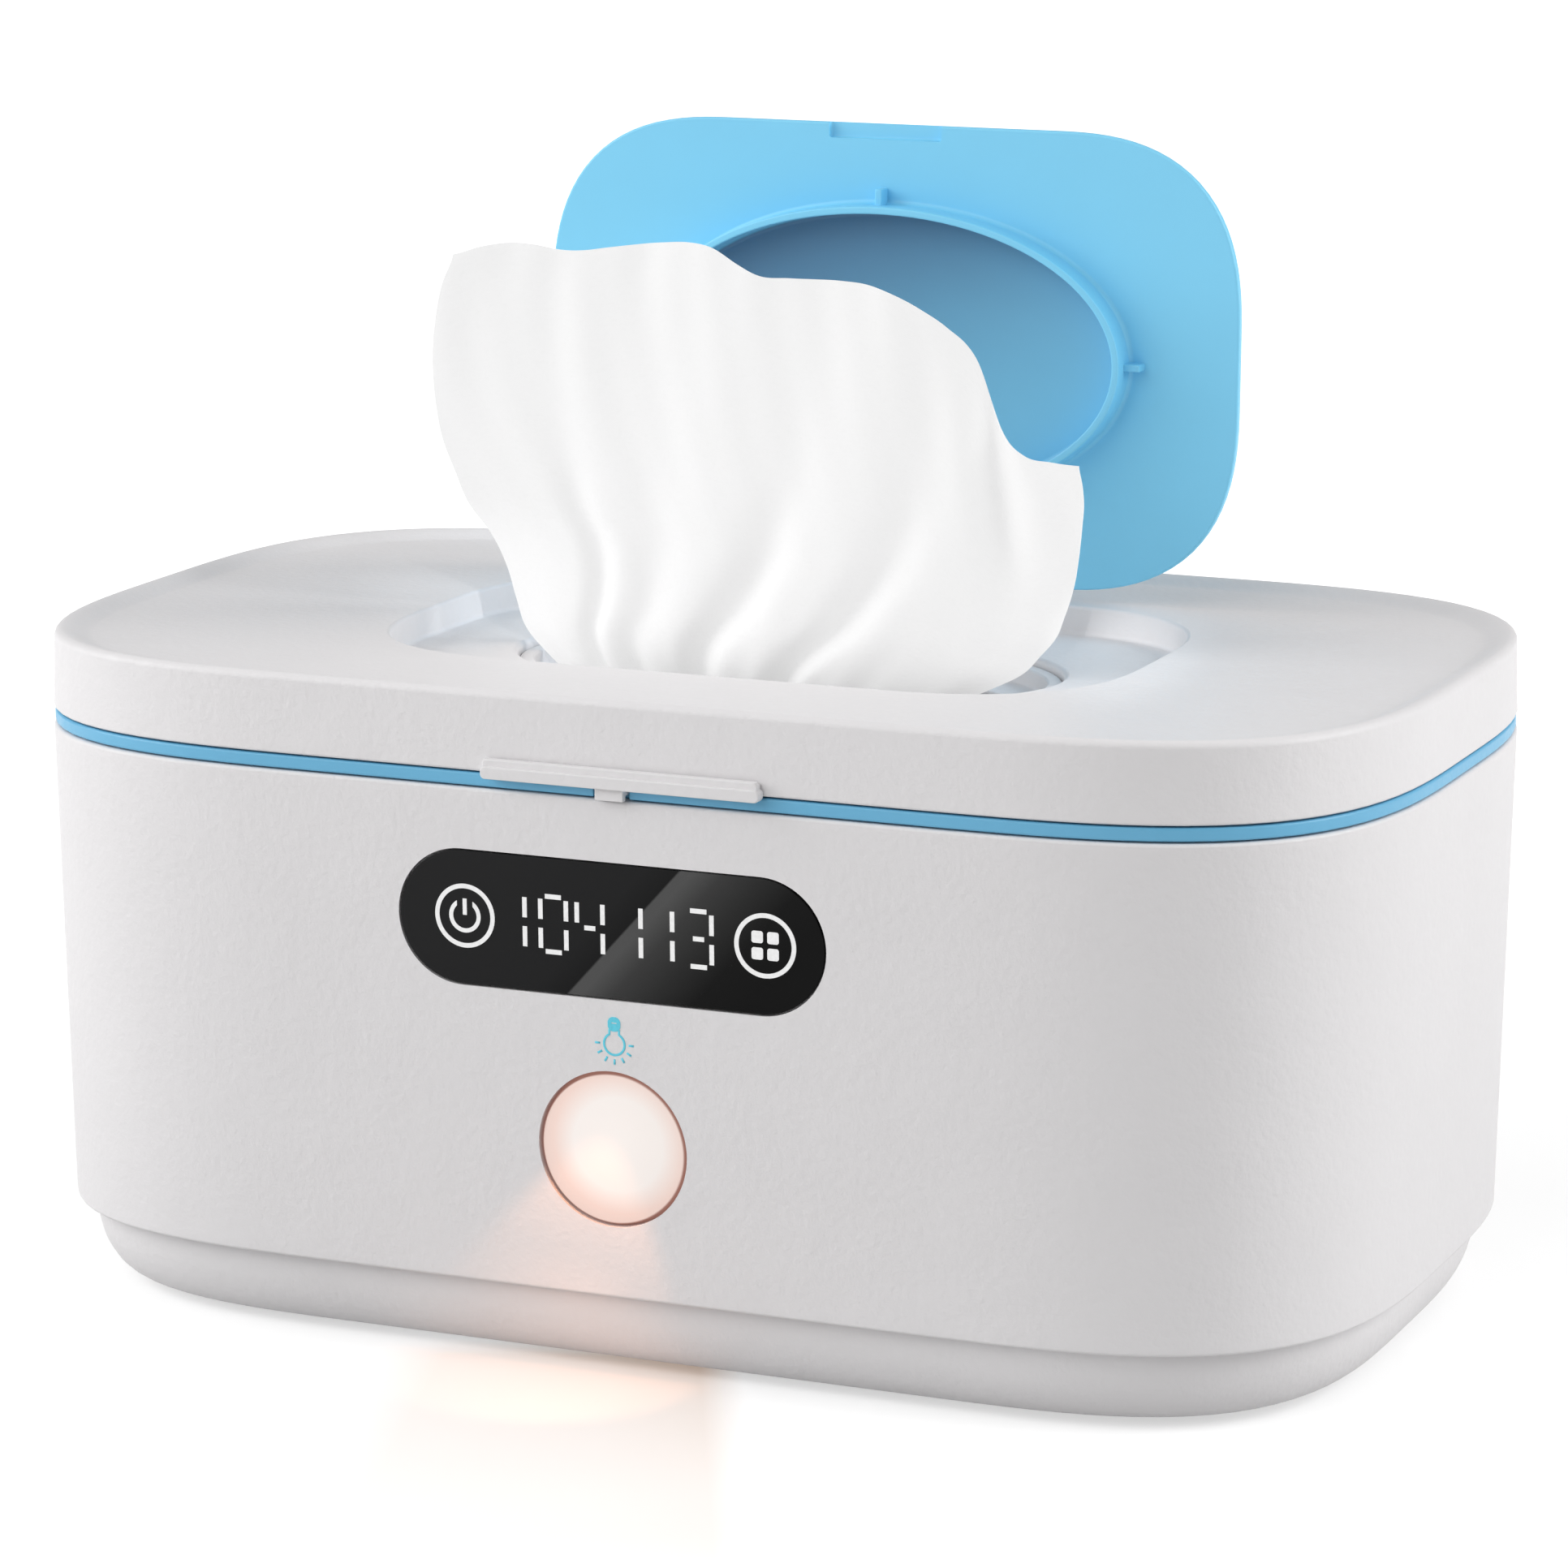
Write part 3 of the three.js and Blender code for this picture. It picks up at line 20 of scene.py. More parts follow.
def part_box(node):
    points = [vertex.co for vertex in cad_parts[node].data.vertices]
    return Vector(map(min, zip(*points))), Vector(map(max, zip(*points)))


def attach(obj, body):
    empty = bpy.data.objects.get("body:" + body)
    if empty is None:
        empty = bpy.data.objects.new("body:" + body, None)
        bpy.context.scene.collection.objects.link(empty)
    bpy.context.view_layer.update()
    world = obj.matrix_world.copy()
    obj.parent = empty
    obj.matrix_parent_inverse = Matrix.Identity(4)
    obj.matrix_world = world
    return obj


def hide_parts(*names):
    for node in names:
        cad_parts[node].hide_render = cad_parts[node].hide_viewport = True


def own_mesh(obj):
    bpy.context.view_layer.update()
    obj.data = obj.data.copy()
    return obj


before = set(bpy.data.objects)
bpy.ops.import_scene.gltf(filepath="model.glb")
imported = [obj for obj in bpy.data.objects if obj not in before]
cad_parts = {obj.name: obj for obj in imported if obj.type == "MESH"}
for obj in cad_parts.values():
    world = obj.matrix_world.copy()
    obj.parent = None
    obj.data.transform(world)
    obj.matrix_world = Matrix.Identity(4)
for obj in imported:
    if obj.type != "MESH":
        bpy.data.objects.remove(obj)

Colour = tuple[float, float, float]
Point = tuple[float, float, float]
Pair = tuple[float, float]
Thing = bpy.types.Object
Material = bpy.types.Material
Socket = bpy.types.NodeSocket

LOG = logging.getLogger("wipe_warmer")
SHIFT_Y = -0.0021
CORNER_STEPS = 24
LOOP_POINTS = 4 * (CORNER_STEPS + 1)
ROW_SPREAD = 0.05
SIDES = (-1, 1)
ORIGIN: Point = (0.0, 0.0, 0.0)
WHITE: Colour = (1.0, 1.0, 1.0)


def grey(level: float) -> Colour:
    """Grey in linear light."""
    return (level, level, level)


def shade(colour: Colour, factor: float) -> Colour:
    """Colour made lighter or darker by a factor."""
    return tuple(min(1.0, channel * factor) for channel in colour)


def paint(red: float, green: float, blue: float) -> Colour:
    """Turns a display colour, with channels from 0 to 255, into linear light."""
    shares = [channel / 255 for channel in (red, green, blue)]
    return tuple(share / 12.92 if share <= 0.04045 else ((share + 0.055) / 1.055) ** 2.4 for share in shares)


def choose(*objects: Thing) -> None:
    """Selects these objects alone and makes the first one active.

    Args:
        objects: The objects to work on.
    """
    bpy.ops.object.select_all(action="DESELECT")
    for item in objects:
        item.select_set(True)
    bpy.context.view_layer.objects.active = objects[0]


@contextmanager
def editing(piece: Thing) -> Iterator[None]:
    """Edit mode of one piece, for use in a with statement.

    Args:
        piece: The piece that is edited.

    Returns:
        Nothing to work with, only the mode.
    """
    choose(piece)
    bpy.ops.object.mode_set(mode="EDIT")
    yield
    bpy.ops.object.mode_set(mode="OBJECT")


def pick(piece: Thing, kind: str, wanted: Callable[..., bool]) -> None:
    """Selects some parts of a mesh in edit mode and nothing else.

    Args:
        piece: The piece in edit mode.
        kind: One of verts, edges and faces.
        wanted: Says of a part whether it is selected.
    """
    mesh = bmesh.from_edit_mesh(piece.data)
    for part in (*mesh.faces, *mesh.edges, *mesh.verts):
        part.select = False
    for part in getattr(mesh, kind):
        part.select = wanted(part)
    if kind == "verts":
        mesh.select_flush(True)
    bmesh.update_edit_mesh(piece.data)


class Shape(Enum):
    """Kinds of level outline."""

    CORNERED = "cornered"
    OVAL = "oval"


@dataclass(frozen=True)
class Loop:
    """Outline of one level of a moulded piece."""

    half_x: float
    half_y: float
    height: float
    corner: float = 0.0
    power: float = 2.0
    centre_y: float = 0.0
    shape: Shape = Shape.CORNERED

    def add(self) -> None:
        """Adds the outline to the mesh in edit mode, as edges alone."""
        place = (0.0, self.centre_y, self.height)
        if self.shape is Shape.OVAL:
            turn = (0.0, 0.0, math.pi / LOOP_POINTS)
            bpy.ops.mesh.primitive_circle_add(
                vertices=LOOP_POINTS, radius=1.0, fill_type="NOTHING", location=place, rotation=turn,
            )
            bpy.ops.transform.resize(value=(self.half_x, self.half_y, 1.0), center_override=place)
            return
        bpy.ops.mesh.primitive_plane_add(size=1.0, location=place)
        bpy.ops.transform.resize(value=(2 * self.half_x, 2 * self.half_y, 1.0), center_override=place)
        bpy.ops.mesh.bevel(
            offset=min(self.corner, 0.9995 * min(self.half_x, self.half_y)), segments=CORNER_STEPS,
            profile=0.25 ** (1 / self.power), affect="VERTICES", clamp_overlap=False,
        )
        bpy.ops.mesh.delete(type="ONLY_FACE")


Level = Callable[[float, float], Loop]


def disc(radius: float, height: float) -> Loop:
    """Round outline about Z."""
    return Loop(radius, radius, height, shape=Shape.OVAL)


def discs(*rows: Pair) -> list[Loop]:
    """Round outlines from pairs of radius and height."""
    return [disc(*row) for row in rows]


def arc(start: float, end: float, steps: int) -> list[Pair]:
    """Sines and cosines along an arc.

    Args:
        start: First angle in degrees.
        end: Last angle in degrees.
        steps: Number of steps between them.

    Returns:
        Sine and cosine of each angle.
    """
    turns = [math.radians(start + (end - start) * step / steps) for step in range(steps + 1)]
    return [(math.sin(turn), math.cos(turn)) for turn in turns]


def quarter(level: Level, start: Pair, end: Pair, steps: int, upright: bool = False) -> list[Loop]:
    """Outlines along a quarter round.

    Args:
        level: Makes an outline from an inset or growth and a height.
        start: First inset and height.
        end: Last inset and height.
        steps: Number of facets.
        upright: Whether the round sets off upright. Otherwise it sets off level.

    Returns:
        The outlines in order.
    """
    inset, height = start
    wide, tall = end[0] - inset, end[1] - height
    turns = arc(0, 90, steps)
    if upright:
        return [level(inset + wide * (1 - cosine), height + tall * sine) for sine, cosine in turns]
    return [level(inset + wide * sine, height + tall * (1 - cosine)) for sine, cosine in turns]


def loft(loops: Sequence[Loop], ring: bool = False) -> Thing:
    """Builds a closed shape by bridging level outlines.

    The outlines are bridged well apart, so that no two of them lie level, and then moved to their heights.

    Args:
        loops: Outlines in order along the surface.
        ring: Whether the last outline joins the first. Otherwise both ends are capped.

    Returns:
        The closed piece, facing outwards.
    """
    bpy.ops.object.add(type="MESH", location=ORIGIN)
    piece, count = bpy.context.object, len(loops)

    def pick_rows(*numbers: int) -> None:
        """Selects the outlines with these numbers."""
        layer = bmesh.from_edit_mesh(piece.data).verts.layers.int["row"]
        pick(piece, "verts", lambda vert: vert[layer] in numbers)

    with editing(piece):
        bmesh.from_edit_mesh(piece.data).verts.layers.int.new("row")
        bmesh.update_edit_mesh(piece.data)
        for number, loop in enumerate(loops, start=1):
            bpy.ops.mesh.select_all(action="DESELECT")
            replace(loop, height=number * ROW_SPREAD).add()
            mesh = bmesh.from_edit_mesh(piece.data)
            layer = mesh.verts.layers.int["row"]
            for vert in mesh.verts:
                vert[layer] = vert[layer] or number
            bmesh.update_edit_mesh(piece.data)
        for number in range(1, count + ring):
            pick_rows(number, number % count + 1)
            bpy.ops.mesh.bridge_edge_loops()
        for end in () if ring else (1, count):
            pick_rows(end)
            bpy.ops.mesh.edge_face_add()
        for number, loop in enumerate(loops, start=1):
            pick_rows(number)
            bpy.ops.transform.translate(value=(0.0, 0.0, loop.height - number * ROW_SPREAD))
        bpy.ops.mesh.select_all(action="SELECT")
        bpy.ops.mesh.normals_make_consistent(inside=False)
    piece.data.attributes.remove(piece.data.attributes["row"])
    return piece


def settle(piece: Thing, matrix: Matrix | None = None) -> Thing:
    """Moves a piece to its place and puts that place into its mesh.

    Args:
        piece: The piece.
        matrix: Where it goes, or nothing if it is in place.

    Returns:
        The same piece.
    """
    if matrix is not None:
        piece.matrix_world = matrix @ piece.matrix_world
    choose(piece)
    bpy.ops.object.transform_apply(location=True, rotation=True, scale=True)
    return piece


def block(size: Sequence[float], centre: Sequence[float] = ORIGIN, soft: float = 0.0) -> Thing:
    """Builds a block with softened edges.

    Args:
        size: Full sizes along X, Y and Z.
        centre: Middle of the block.
        soft: Width of the softened edges.

    Returns:
        The block.
    """
    bpy.ops.mesh.primitive_cube_add(size=1.0, location=centre, scale=size)
    piece = settle(bpy.context.object)
    if soft > 0:
        with editing(piece):
            bpy.ops.mesh.select_all(action="SELECT")
            bpy.ops.mesh.bevel(offset=soft, segments=3, profile=0.5, affect="EDGES", clamp_overlap=True)
    return piece


def rod(radius: float, start: Sequence[float], end: Sequence[float], points: int = 48) -> Thing:
    """Builds a round rod between two places.

    Args:
        radius: Radius of the rod.
        start: Middle of one end.
        end: Middle of the other end.
        points: Number of facets round it.

    Returns:
        The rod.
    """
    first, last = Vector(start), Vector(end)
    along = last - first
    bpy.ops.mesh.primitive_cylinder_add(
        vertices=points, radius=radius, depth=along.length, location=(first + last) / 2,
        rotation=along.to_track_quat("Z", "Y").to_euler(),
    )
    return settle(bpy.context.object)


def post(radius: float, place: Pair, low: float, high: float, points: int = 32) -> Thing:
    """Upright rod at a place in plan, from one height to another."""
    return rod(radius, (*place, low), (*place, high), points)


def stadium(half_length: float, half_height: float, bottom: float, top: float, soft: float = 0.0) -> Thing:
    """Builds a round ended plate in its own plane, with its thickness along Z.

    Args:
        half_length: Half of the length along X.
        half_height: Half of the height along Y.
        bottom: Lower level.
        top: Upper level.
        soft: Rounding of the upper edge.

    Returns:
        The plate.
    """
    def level(inset: float, height: float) -> Loop:
        """Outline at one level."""
        return Loop(half_length - inset, half_height - inset, height, corner=half_height - inset)

    edge = quarter(level, (0.0, top - soft), (soft, top), 4, upright=True) if soft > 0 else [level(0.0, top)]
    return loft([level(0.0, bottom), *edge])


def modify(piece: Thing, kind: str, **settings: object) -> Thing:
    """Adds a modifier and applies it.

    Args:
        piece: The piece.
        kind: Type of the modifier.
        settings: Its values.

    Returns:
        The same piece.
    """
    modifier = piece.modifiers.new(kind.lower(), kind)
    for key, value in settings.items():
        setattr(modifier, key, value)
    choose(piece)
    bpy.ops.object.modifier_apply(modifier=modifier.name)
    return piece


class Operation(Enum):
    """Ways to combine two solids."""

    JOIN = "UNION"
    CUT = "DIFFERENCE"


def combine(piece: Thing, operation: Operation, tools: Sequence[Thing]) -> Thing:
    """Joins solids to a piece or cuts them out of it, one by one. They are used up.

    Args:
        piece: The piece that is changed.
        operation: Join or cut.
        tools: The solids that are joined or cut away.

    Returns:
        The changed piece.
    """
    for tool in tools:
        modify(piece, "BOOLEAN", object=tool, operation=operation.value, solver="EXACT")
        bpy.data.objects.remove(tool, do_unlink=True)
    return piece


def join(piece: Thing, *tools: Thing) -> Thing:
    """Joins solids to a piece."""
    return combine(piece, Operation.JOIN, tools)


def cut(piece: Thing, *tools: Thing) -> Thing:
    """Cuts solids out of a piece."""
    return combine(piece, Operation.CUT, tools)


def merge(parts: Sequence[Thing]) -> Thing:
    """Puts separate parts into one piece as they are.

    Args:
        parts: The parts, of which the first one stays.

    Returns:
        The one piece.
    """
    choose(*parts)
    bpy.ops.object.join()
    return bpy.context.object


class NodeBook:
    """Node tree of one material or of the world, with short ways to add and link nodes."""

    def __init__(self, owner: Material | bpy.types.World) -> None:
        """Opens the tree and finds its shader.

        Args:
            owner: The material or the world.
        """
        owner.use_nodes = True
        self.tree = owner.node_tree
        self.shader = next(node for node in self.tree.nodes if node.type in ("BSDF_PRINCIPLED", "BACKGROUND"))

    @cached_property
    def place(self) -> Socket:
        """Place on the piece, in Object coordinates."""
        return self.add("ShaderNodeTexCoord").outputs["Object"]

    def feed(self, node: bpy.types.Node, inputs: Mapping[int | str, object]) -> None:
        """Links or sets sockets of a node.

        Args:
            node: The node.
            inputs: Sockets by name or number, and what each of them gets: another socket or a value.
        """
        for key, value in inputs.items():
            socket = node.inputs[key]
            if isinstance(value, Socket):
                self.tree.links.new(value, socket)
            else:
                socket.default_value = (*value, 1.0) if socket.type == "RGBA" else value

    def finish(self, inputs: Mapping[str, object]) -> None:
        """Links or sets sockets of the shader."""
        self.feed(self.shader, inputs)

    def add(self, kind: str, inputs: Mapping[int | str, object] | None = None, **settings: object) -> bpy.types.Node:
        """Adds a node.

        Args:
            kind: Type name of the node.
            inputs: What its sockets get.
            settings: Its attributes.

        Returns:
            The node.
        """
        node = self.tree.nodes.new(kind)
        for key, value in settings.items():
            setattr(node, key, value)
        self.feed(node, inputs or {})
        return node

    def math(self, operation: str, *values: object) -> Socket:
        """Result of a sum over values."""
        return self.add("ShaderNodeMath", dict(enumerate(values)), operation=operation).outputs["Value"]

    def vector(self, operation: str, *values: object) -> Socket:
        """Result of a sum over vectors."""
        node = self.add("ShaderNodeVectorMath", dict(enumerate(values)), operation=operation)
        return node.outputs["Value" if operation in ("LENGTH", "DOT_PRODUCT") else "Vector"]

    def split(self, vector: Socket) -> Sequence[Socket]:
        """X, Y and Z of a vector."""
        return self.add("ShaderNodeSeparateXYZ", {"Vector": vector}).outputs

    def span(self, value: Socket, span: Pair, result: Pair = (0.0, 1.0), kind: str = "LINEAR") -> Socket:
        """Value spread from one span over another.

        Args:
            value: The value.
            span: Where it starts and ends.
            result: What the start and the end become.
            kind: Type of the step between them.

        Returns:
            The socket with the result.
        """
        ends = dict(zip(("From Min", "From Max", "To Min", "To Max"), (*span, *result)))
        return self.add("ShaderNodeMapRange", {"Value": value, **ends}, interpolation_type=kind).outputs["Result"]

    def noise(self, size: float, detail: float = 2.0, stretch: Point = WHITE) -> Socket:
        """Noise over the piece.

        Args:
            size: Size of its spots in metres.
            detail: Number of finer layers.
            stretch: Relative frequency along X, Y and Z.

        Returns:
            The socket with a value from 0 to 1.
        """
        scale = [share / size for share in stretch]
        place = self.add("ShaderNodeMapping", {"Vector": self.place, "Scale": scale}).outputs["Vector"]
        return self.add("ShaderNodeTexNoise", {"Vector": place, "Scale": 1.0, "Detail": detail}).outputs["Fac"]

    def ramp(self, source: Socket, stops: Sequence[tuple[float, Colour]]) -> Socket:
        """Colours along a value.

        Args:
            source: The value.
            stops: Places from 0 to 1 and their linear colours.

        Returns:
            The socket with the colour.
        """
        node = self.add("ShaderNodeValToRGB", {"Fac": source})
        band = node.color_ramp
        while len(band.elements) < len(stops):
            band.elements.new(0.5)
        for element, (place, colour) in zip(band.elements, stops):
            element.position = place
            element.color = (*colour, 1.0)
        return node.outputs["Color"]

    def tones(self, source: Socket, colour: Colour, factors: Pair, span: Pair = (0.3, 0.7)) -> Socket:
        """Colour that goes from one tone to another along a value."""
        return self.ramp(source, [(place, shade(colour, factor)) for place, factor in zip(span, factors)])

    def relief(self, *layers: tuple[Socket, float]) -> None:
        """Stacks bumps onto the shader.

        Args:
            layers: Height sockets and their depths in metres.
        """
        before: dict[str, Socket] = {}
        for height, depth in layers:
            bump = self.add("ShaderNodeBump", {"Height": height, "Strength": 1.0, "Distance": depth, **before})
            before = {"Normal": bump.outputs["Normal"]}
        self.finish(before)


@dataclass(frozen=True)
class Finish:
    """What every finish has: a name and nodes."""

    name: str

    def draw(self, book: NodeBook) -> None:
        """Draws the nodes of the finish."""
        raise NotImplementedError

    def build(self) -> Material:
        """Makes the material.

        Returns:
            The material.
        """
        material = bpy.data.materials.new(self.name)
        self.draw(NodeBook(material))
        return material


@dataclass(frozen=True)
class Moulded(Finish):
    """Injection moulded plastic with a fine etched grain."""

    colour: Colour
    roughness: float
    grain_size: float
    grain_depth: float
    mottle: float
    coat: float = 0.0

    def add_painted_shade(self, book: NodeBook, colour: Socket) -> Socket:
        """Leaves the colour as it is, for kinds of plastic that get no painted shade."""
        return colour

    def draw(self, book: NodeBook) -> None:
        """Draws cloudy colour, grain and slow waves.

        Args:
            book: Nodes of the material.
        """
        grain, wear = book.noise(self.grain_size, 3.0), self.roughness
        colour = book.tones(book.noise(0.03, 3.0), self.colour, (1 - self.mottle, 1 + self.mottle), (0.35, 0.65))
        book.finish({
            "Base Color": self.add_painted_shade(book, colour), "Coat Weight": self.coat,
            "Roughness": book.tones(grain, WHITE, (wear - 0.06, wear + 0.06)),
        })
        book.relief((grain, self.grain_depth), (book.noise(0.012, 1.0), self.grain_depth * 1.5))


@dataclass(frozen=True)
class CapMoulding(Moulded):
    """Cap plastic with painted shade inside the collar on its inner face, darkest under the upper rim."""

    centre: Point = (0.0, 0.0, 0.1535)
    radii: Point = (0.0436, 1.0, 0.0246)
    rim: Pair = (1.005, 0.985)
    # Colour that multiplies the cap's colour where the painted shade is full.
    deep: Colour = (0.3, 0.28, 0.34)
    # Direction across the collar along which the painted shade grows darker.
    shade_slant: Point = (-0.42, 0.0, 0.62)
    outward: Point = (0.0, 0.99985, -0.01745)
    mid_plate: float = 0.0425

    def add_painted_shade(self, book: NodeBook, colour: Socket) -> Socket:
        """Paints shade inside the collar, on the inner face only.

        Args:
            book: Nodes of the material.
            colour: Colour of the rest of the cap.

        Returns:
            The colour of the whole cap, with the painted shade.
        """
        oval = {"Vector": book.place, "Location": self.centre, "Scale": self.radii}
        x, _, z = book.split(book.add("ShaderNodeMapping", oval, vector_type="TEXTURE").outputs["Vector"])
        flat = book.add("ShaderNodeCombineXYZ", {"X": x, "Z": z}).outputs["Vector"]
        inside = book.span(book.vector("LENGTH", flat), self.rim, kind="SMOOTHSTEP")
        slant = book.vector("DOT_PRODUCT", flat, self.shade_slant)
        depth = book.span(slant, (-0.75, 0.72), (0.22, 1.0), "SMOOTHSTEP")
        inner = book.math("LESS_THAN", book.vector("DOT_PRODUCT", book.place, self.outward), self.mid_plate)
        share = book.math("MULTIPLY", book.math("MULTIPLY", inside, depth), inner)
        # Painted shade: inside the collar, the cap's colour is multiplied by the shade colour.
        mix = {0: share, 6: colour, 7: self.deep}
        return book.add("ShaderNodeMix", mix, data_type="RGBA", blend_type="MULTIPLY").outputs[2]


@dataclass(frozen=True)
class Metal(Finish):
    """Plated or rolled metal with fine lines."""

    colour: Colour
    roughness: float = 0.35

    def draw(self, book: NodeBook) -> None:
        """Draws lines along X on a cloudy tone.

        Args:
            book: Nodes of the material.
        """
        lines, wear = book.noise(0.0004, stretch=(0.1, 1.0, 1.0)), self.roughness
        book.finish({
            "Metallic": 1.0, "Base Color": book.tones(book.noise(0.004), self.colour, (0.85, 1.1)),
            "Roughness": book.tones(lines, WHITE, (wear - 0.08, wear + 0.1)),
        })
        book.relief((lines, 0.000008))


@dataclass(frozen=True)
class Board(Finish):
    """Circuit board lacquer with traces and pads."""

    colour: Colour

    def draw(self, book: NodeBook) -> None:
        """Draws the traces as the joints of a brick pattern.

        Args:
            book: Nodes of the material.
        """
        bricks = book.add("ShaderNodeTexBrick", {
            "Vector": book.place, "Scale": 160.0, "Mortar Size": 0.05, "Color1": shade(self.colour, 0.85),
            "Color2": self.colour, "Mortar": shade(self.colour, 2.2),
        }).outputs
        book.finish({"Base Color": bricks["Color"], "Roughness": 0.35})
        book.relief((bricks["Fac"], 0.00003))


@dataclass(frozen=True)
class Felt(Finish):
    """Pressed fibres of the insulation pad."""

    colour: Colour

    def draw(self, book: NodeBook) -> None:
        """Draws matted fibres.

        Args:
            book: Nodes of the material.
        """
        fibres = book.noise(0.0009, 6.0, (1.0, 0.35, 1.0))
        book.finish({"Base Color": book.tones(fibres, self.colour, (0.8, 1.05)), "Roughness": 0.95})
        book.relief((fibres, 0.0002))


@dataclass(frozen=True)
class Ink(Finish):
    """Printed or lit mark on the front."""

    colour: Colour
    glow: float

    def draw(self, book: NodeBook) -> None:
        """Draws slightly patchy ink that glows.

        Args:
            book: Nodes of the material.
        """
        patch = book.noise(0.0006)
        colour = book.tones(patch, self.colour, (0.94, 1.04))
        book.finish({"Base Color": colour, "Emission Color": colour, "Emission Strength": self.glow, "Roughness": 0.4})
        book.relief((patch, 0.000006))


@dataclass(frozen=True)
class SmokedWindow(Finish):
    """Black gloss window with a painted reflection: a paler band that starts at a slanted edge."""

    # The window's own colour, then the near black and the paler band of the painted reflection.
    base: Colour = paint(31, 31, 32)
    low: Colour = paint(2, 2, 2)
    band: Colour = paint(84, 84, 84)
    reflection_edge_x: float = 0.00245
    reflection_edge_slope: float = 0.903
    fade: float = 0.03
    centre_z: float = 0.0757

    def draw(self, book: NodeBook) -> None:
        """Draws the painted reflection as a band across the slanted edge, and faint smears.

        Args:
            book: Nodes of the material.
        """
        x, _, z = book.split(book.place)
        slant = book.math("MULTIPLY_ADD", z, -self.reflection_edge_slope, self.reflection_edge_slope * self.centre_z - self.reflection_edge_x)
        across = book.span(book.math("ADD", x, slant), (-self.fade, self.fade))
        # Painted reflection: the window darkens towards the slanted edge, the paler band starts there and fades to near
        # black.
        tones = (
            (0.0, self.base, 1.0), (0.4, self.base, 0.85), (0.496, self.base, 0.4), (0.503, self.band, 1.0),
            (0.54, self.band, 1.0), (0.625, self.band, 0.5), (0.74, self.band, 0.24), (0.86, self.band, 0.03),
            (1.0, self.low, 1.0),
        )
        book.finish({
            "Base Color": book.ramp(across, [(place, shade(colour, factor)) for place, colour, factor in tones]),
            "Roughness": book.tones(book.noise(0.01), WHITE, (0.14, 0.24)), "IOR": 1.2,
        })


@dataclass(frozen=True)
class LitLens(Finish):
    """Frosted lens lit from behind, brightest in its middle."""

    middle: Colour = paint(255, 247, 242)
    rim: Colour = paint(232, 206, 196)
    # Colour that multiplies glow and colour on the lens's side: painted shade.
    side: Colour = (0.4, 0.25, 0.22)
    centre: Point = (0.0012, -0.0743, 0.0405)
    axis: Point = (0.0, -0.0743, 0.0395)
    reach: float = 0.0155
    radius: float = 0.0126
    glow: float = 0.66

    def draw(self, book: NodeBook) -> None:
        """Draws the glow as rings round its centre, and painted shade on the side of the lens outside its face.

        Args:
            book: Nodes of the material.
        """
        centre, axis = (
            book.vector("LENGTH", book.vector(
                "MULTIPLY", book.vector("SUBTRACT", book.place, point), (1 / reach, 0.0, 1 / reach),
            ))
            for point, reach in ((self.centre, self.reach), (self.axis, self.radius))
        )
        stops = [(0.0, self.middle), (0.5, shade(self.middle, 0.96)), (0.75, shade(self.rim, 1.12)), (1.0, self.rim)]
        # Painted shade on the side of the lens, outside its face.
        edge = book.ramp(axis, [(0.97, WHITE), (0.99, self.side)])
        for socket, factor in (("Emission Color", 1.0), ("Base Color", 0.33)):
            glow = book.ramp(centre, [(place, shade(colour, factor)) for place, colour in stops])
            book.finish({socket: book.vector("MULTIPLY", glow, edge)})
        book.finish({"Emission Strength": self.glow, "Roughness": 0.45})
        book.relief((book.noise(0.0004, 3.0), 0.00001))


@dataclass(frozen=True)
class NonWoven(Finish):
    """Soft non-woven cloth with tangled fibres, on the sheet's own map."""

    colour: Colour
    glow: float

    def draw(self, book: NodeBook) -> None:
        """Draws fibres both ways, and a painted glow that stands in for the light that comes through the thin cloth.

        Args:
            book: Nodes of the material.
        """
        book.place = book.add("ShaderNodeTexCoord").outputs["UV"]
        fibres = book.math("ADD", *(book.noise(0.006, 5.0, way) for way in ((1.0, 0.4, 1.0), (0.4, 1.0, 1.0))))
        # Painted glow: a faint emission stands in for light coming through the cloth.
        book.finish({
            "Base Color": book.tones(fibres, self.colour, (0.97, 1.0), (0.7, 1.0)), "Roughness": 0.9,
            "Sheen Weight": 0.15, "Emission Color": WHITE, "Emission Strength": self.glow,
        })
        book.relief((fibres, 0.00004))


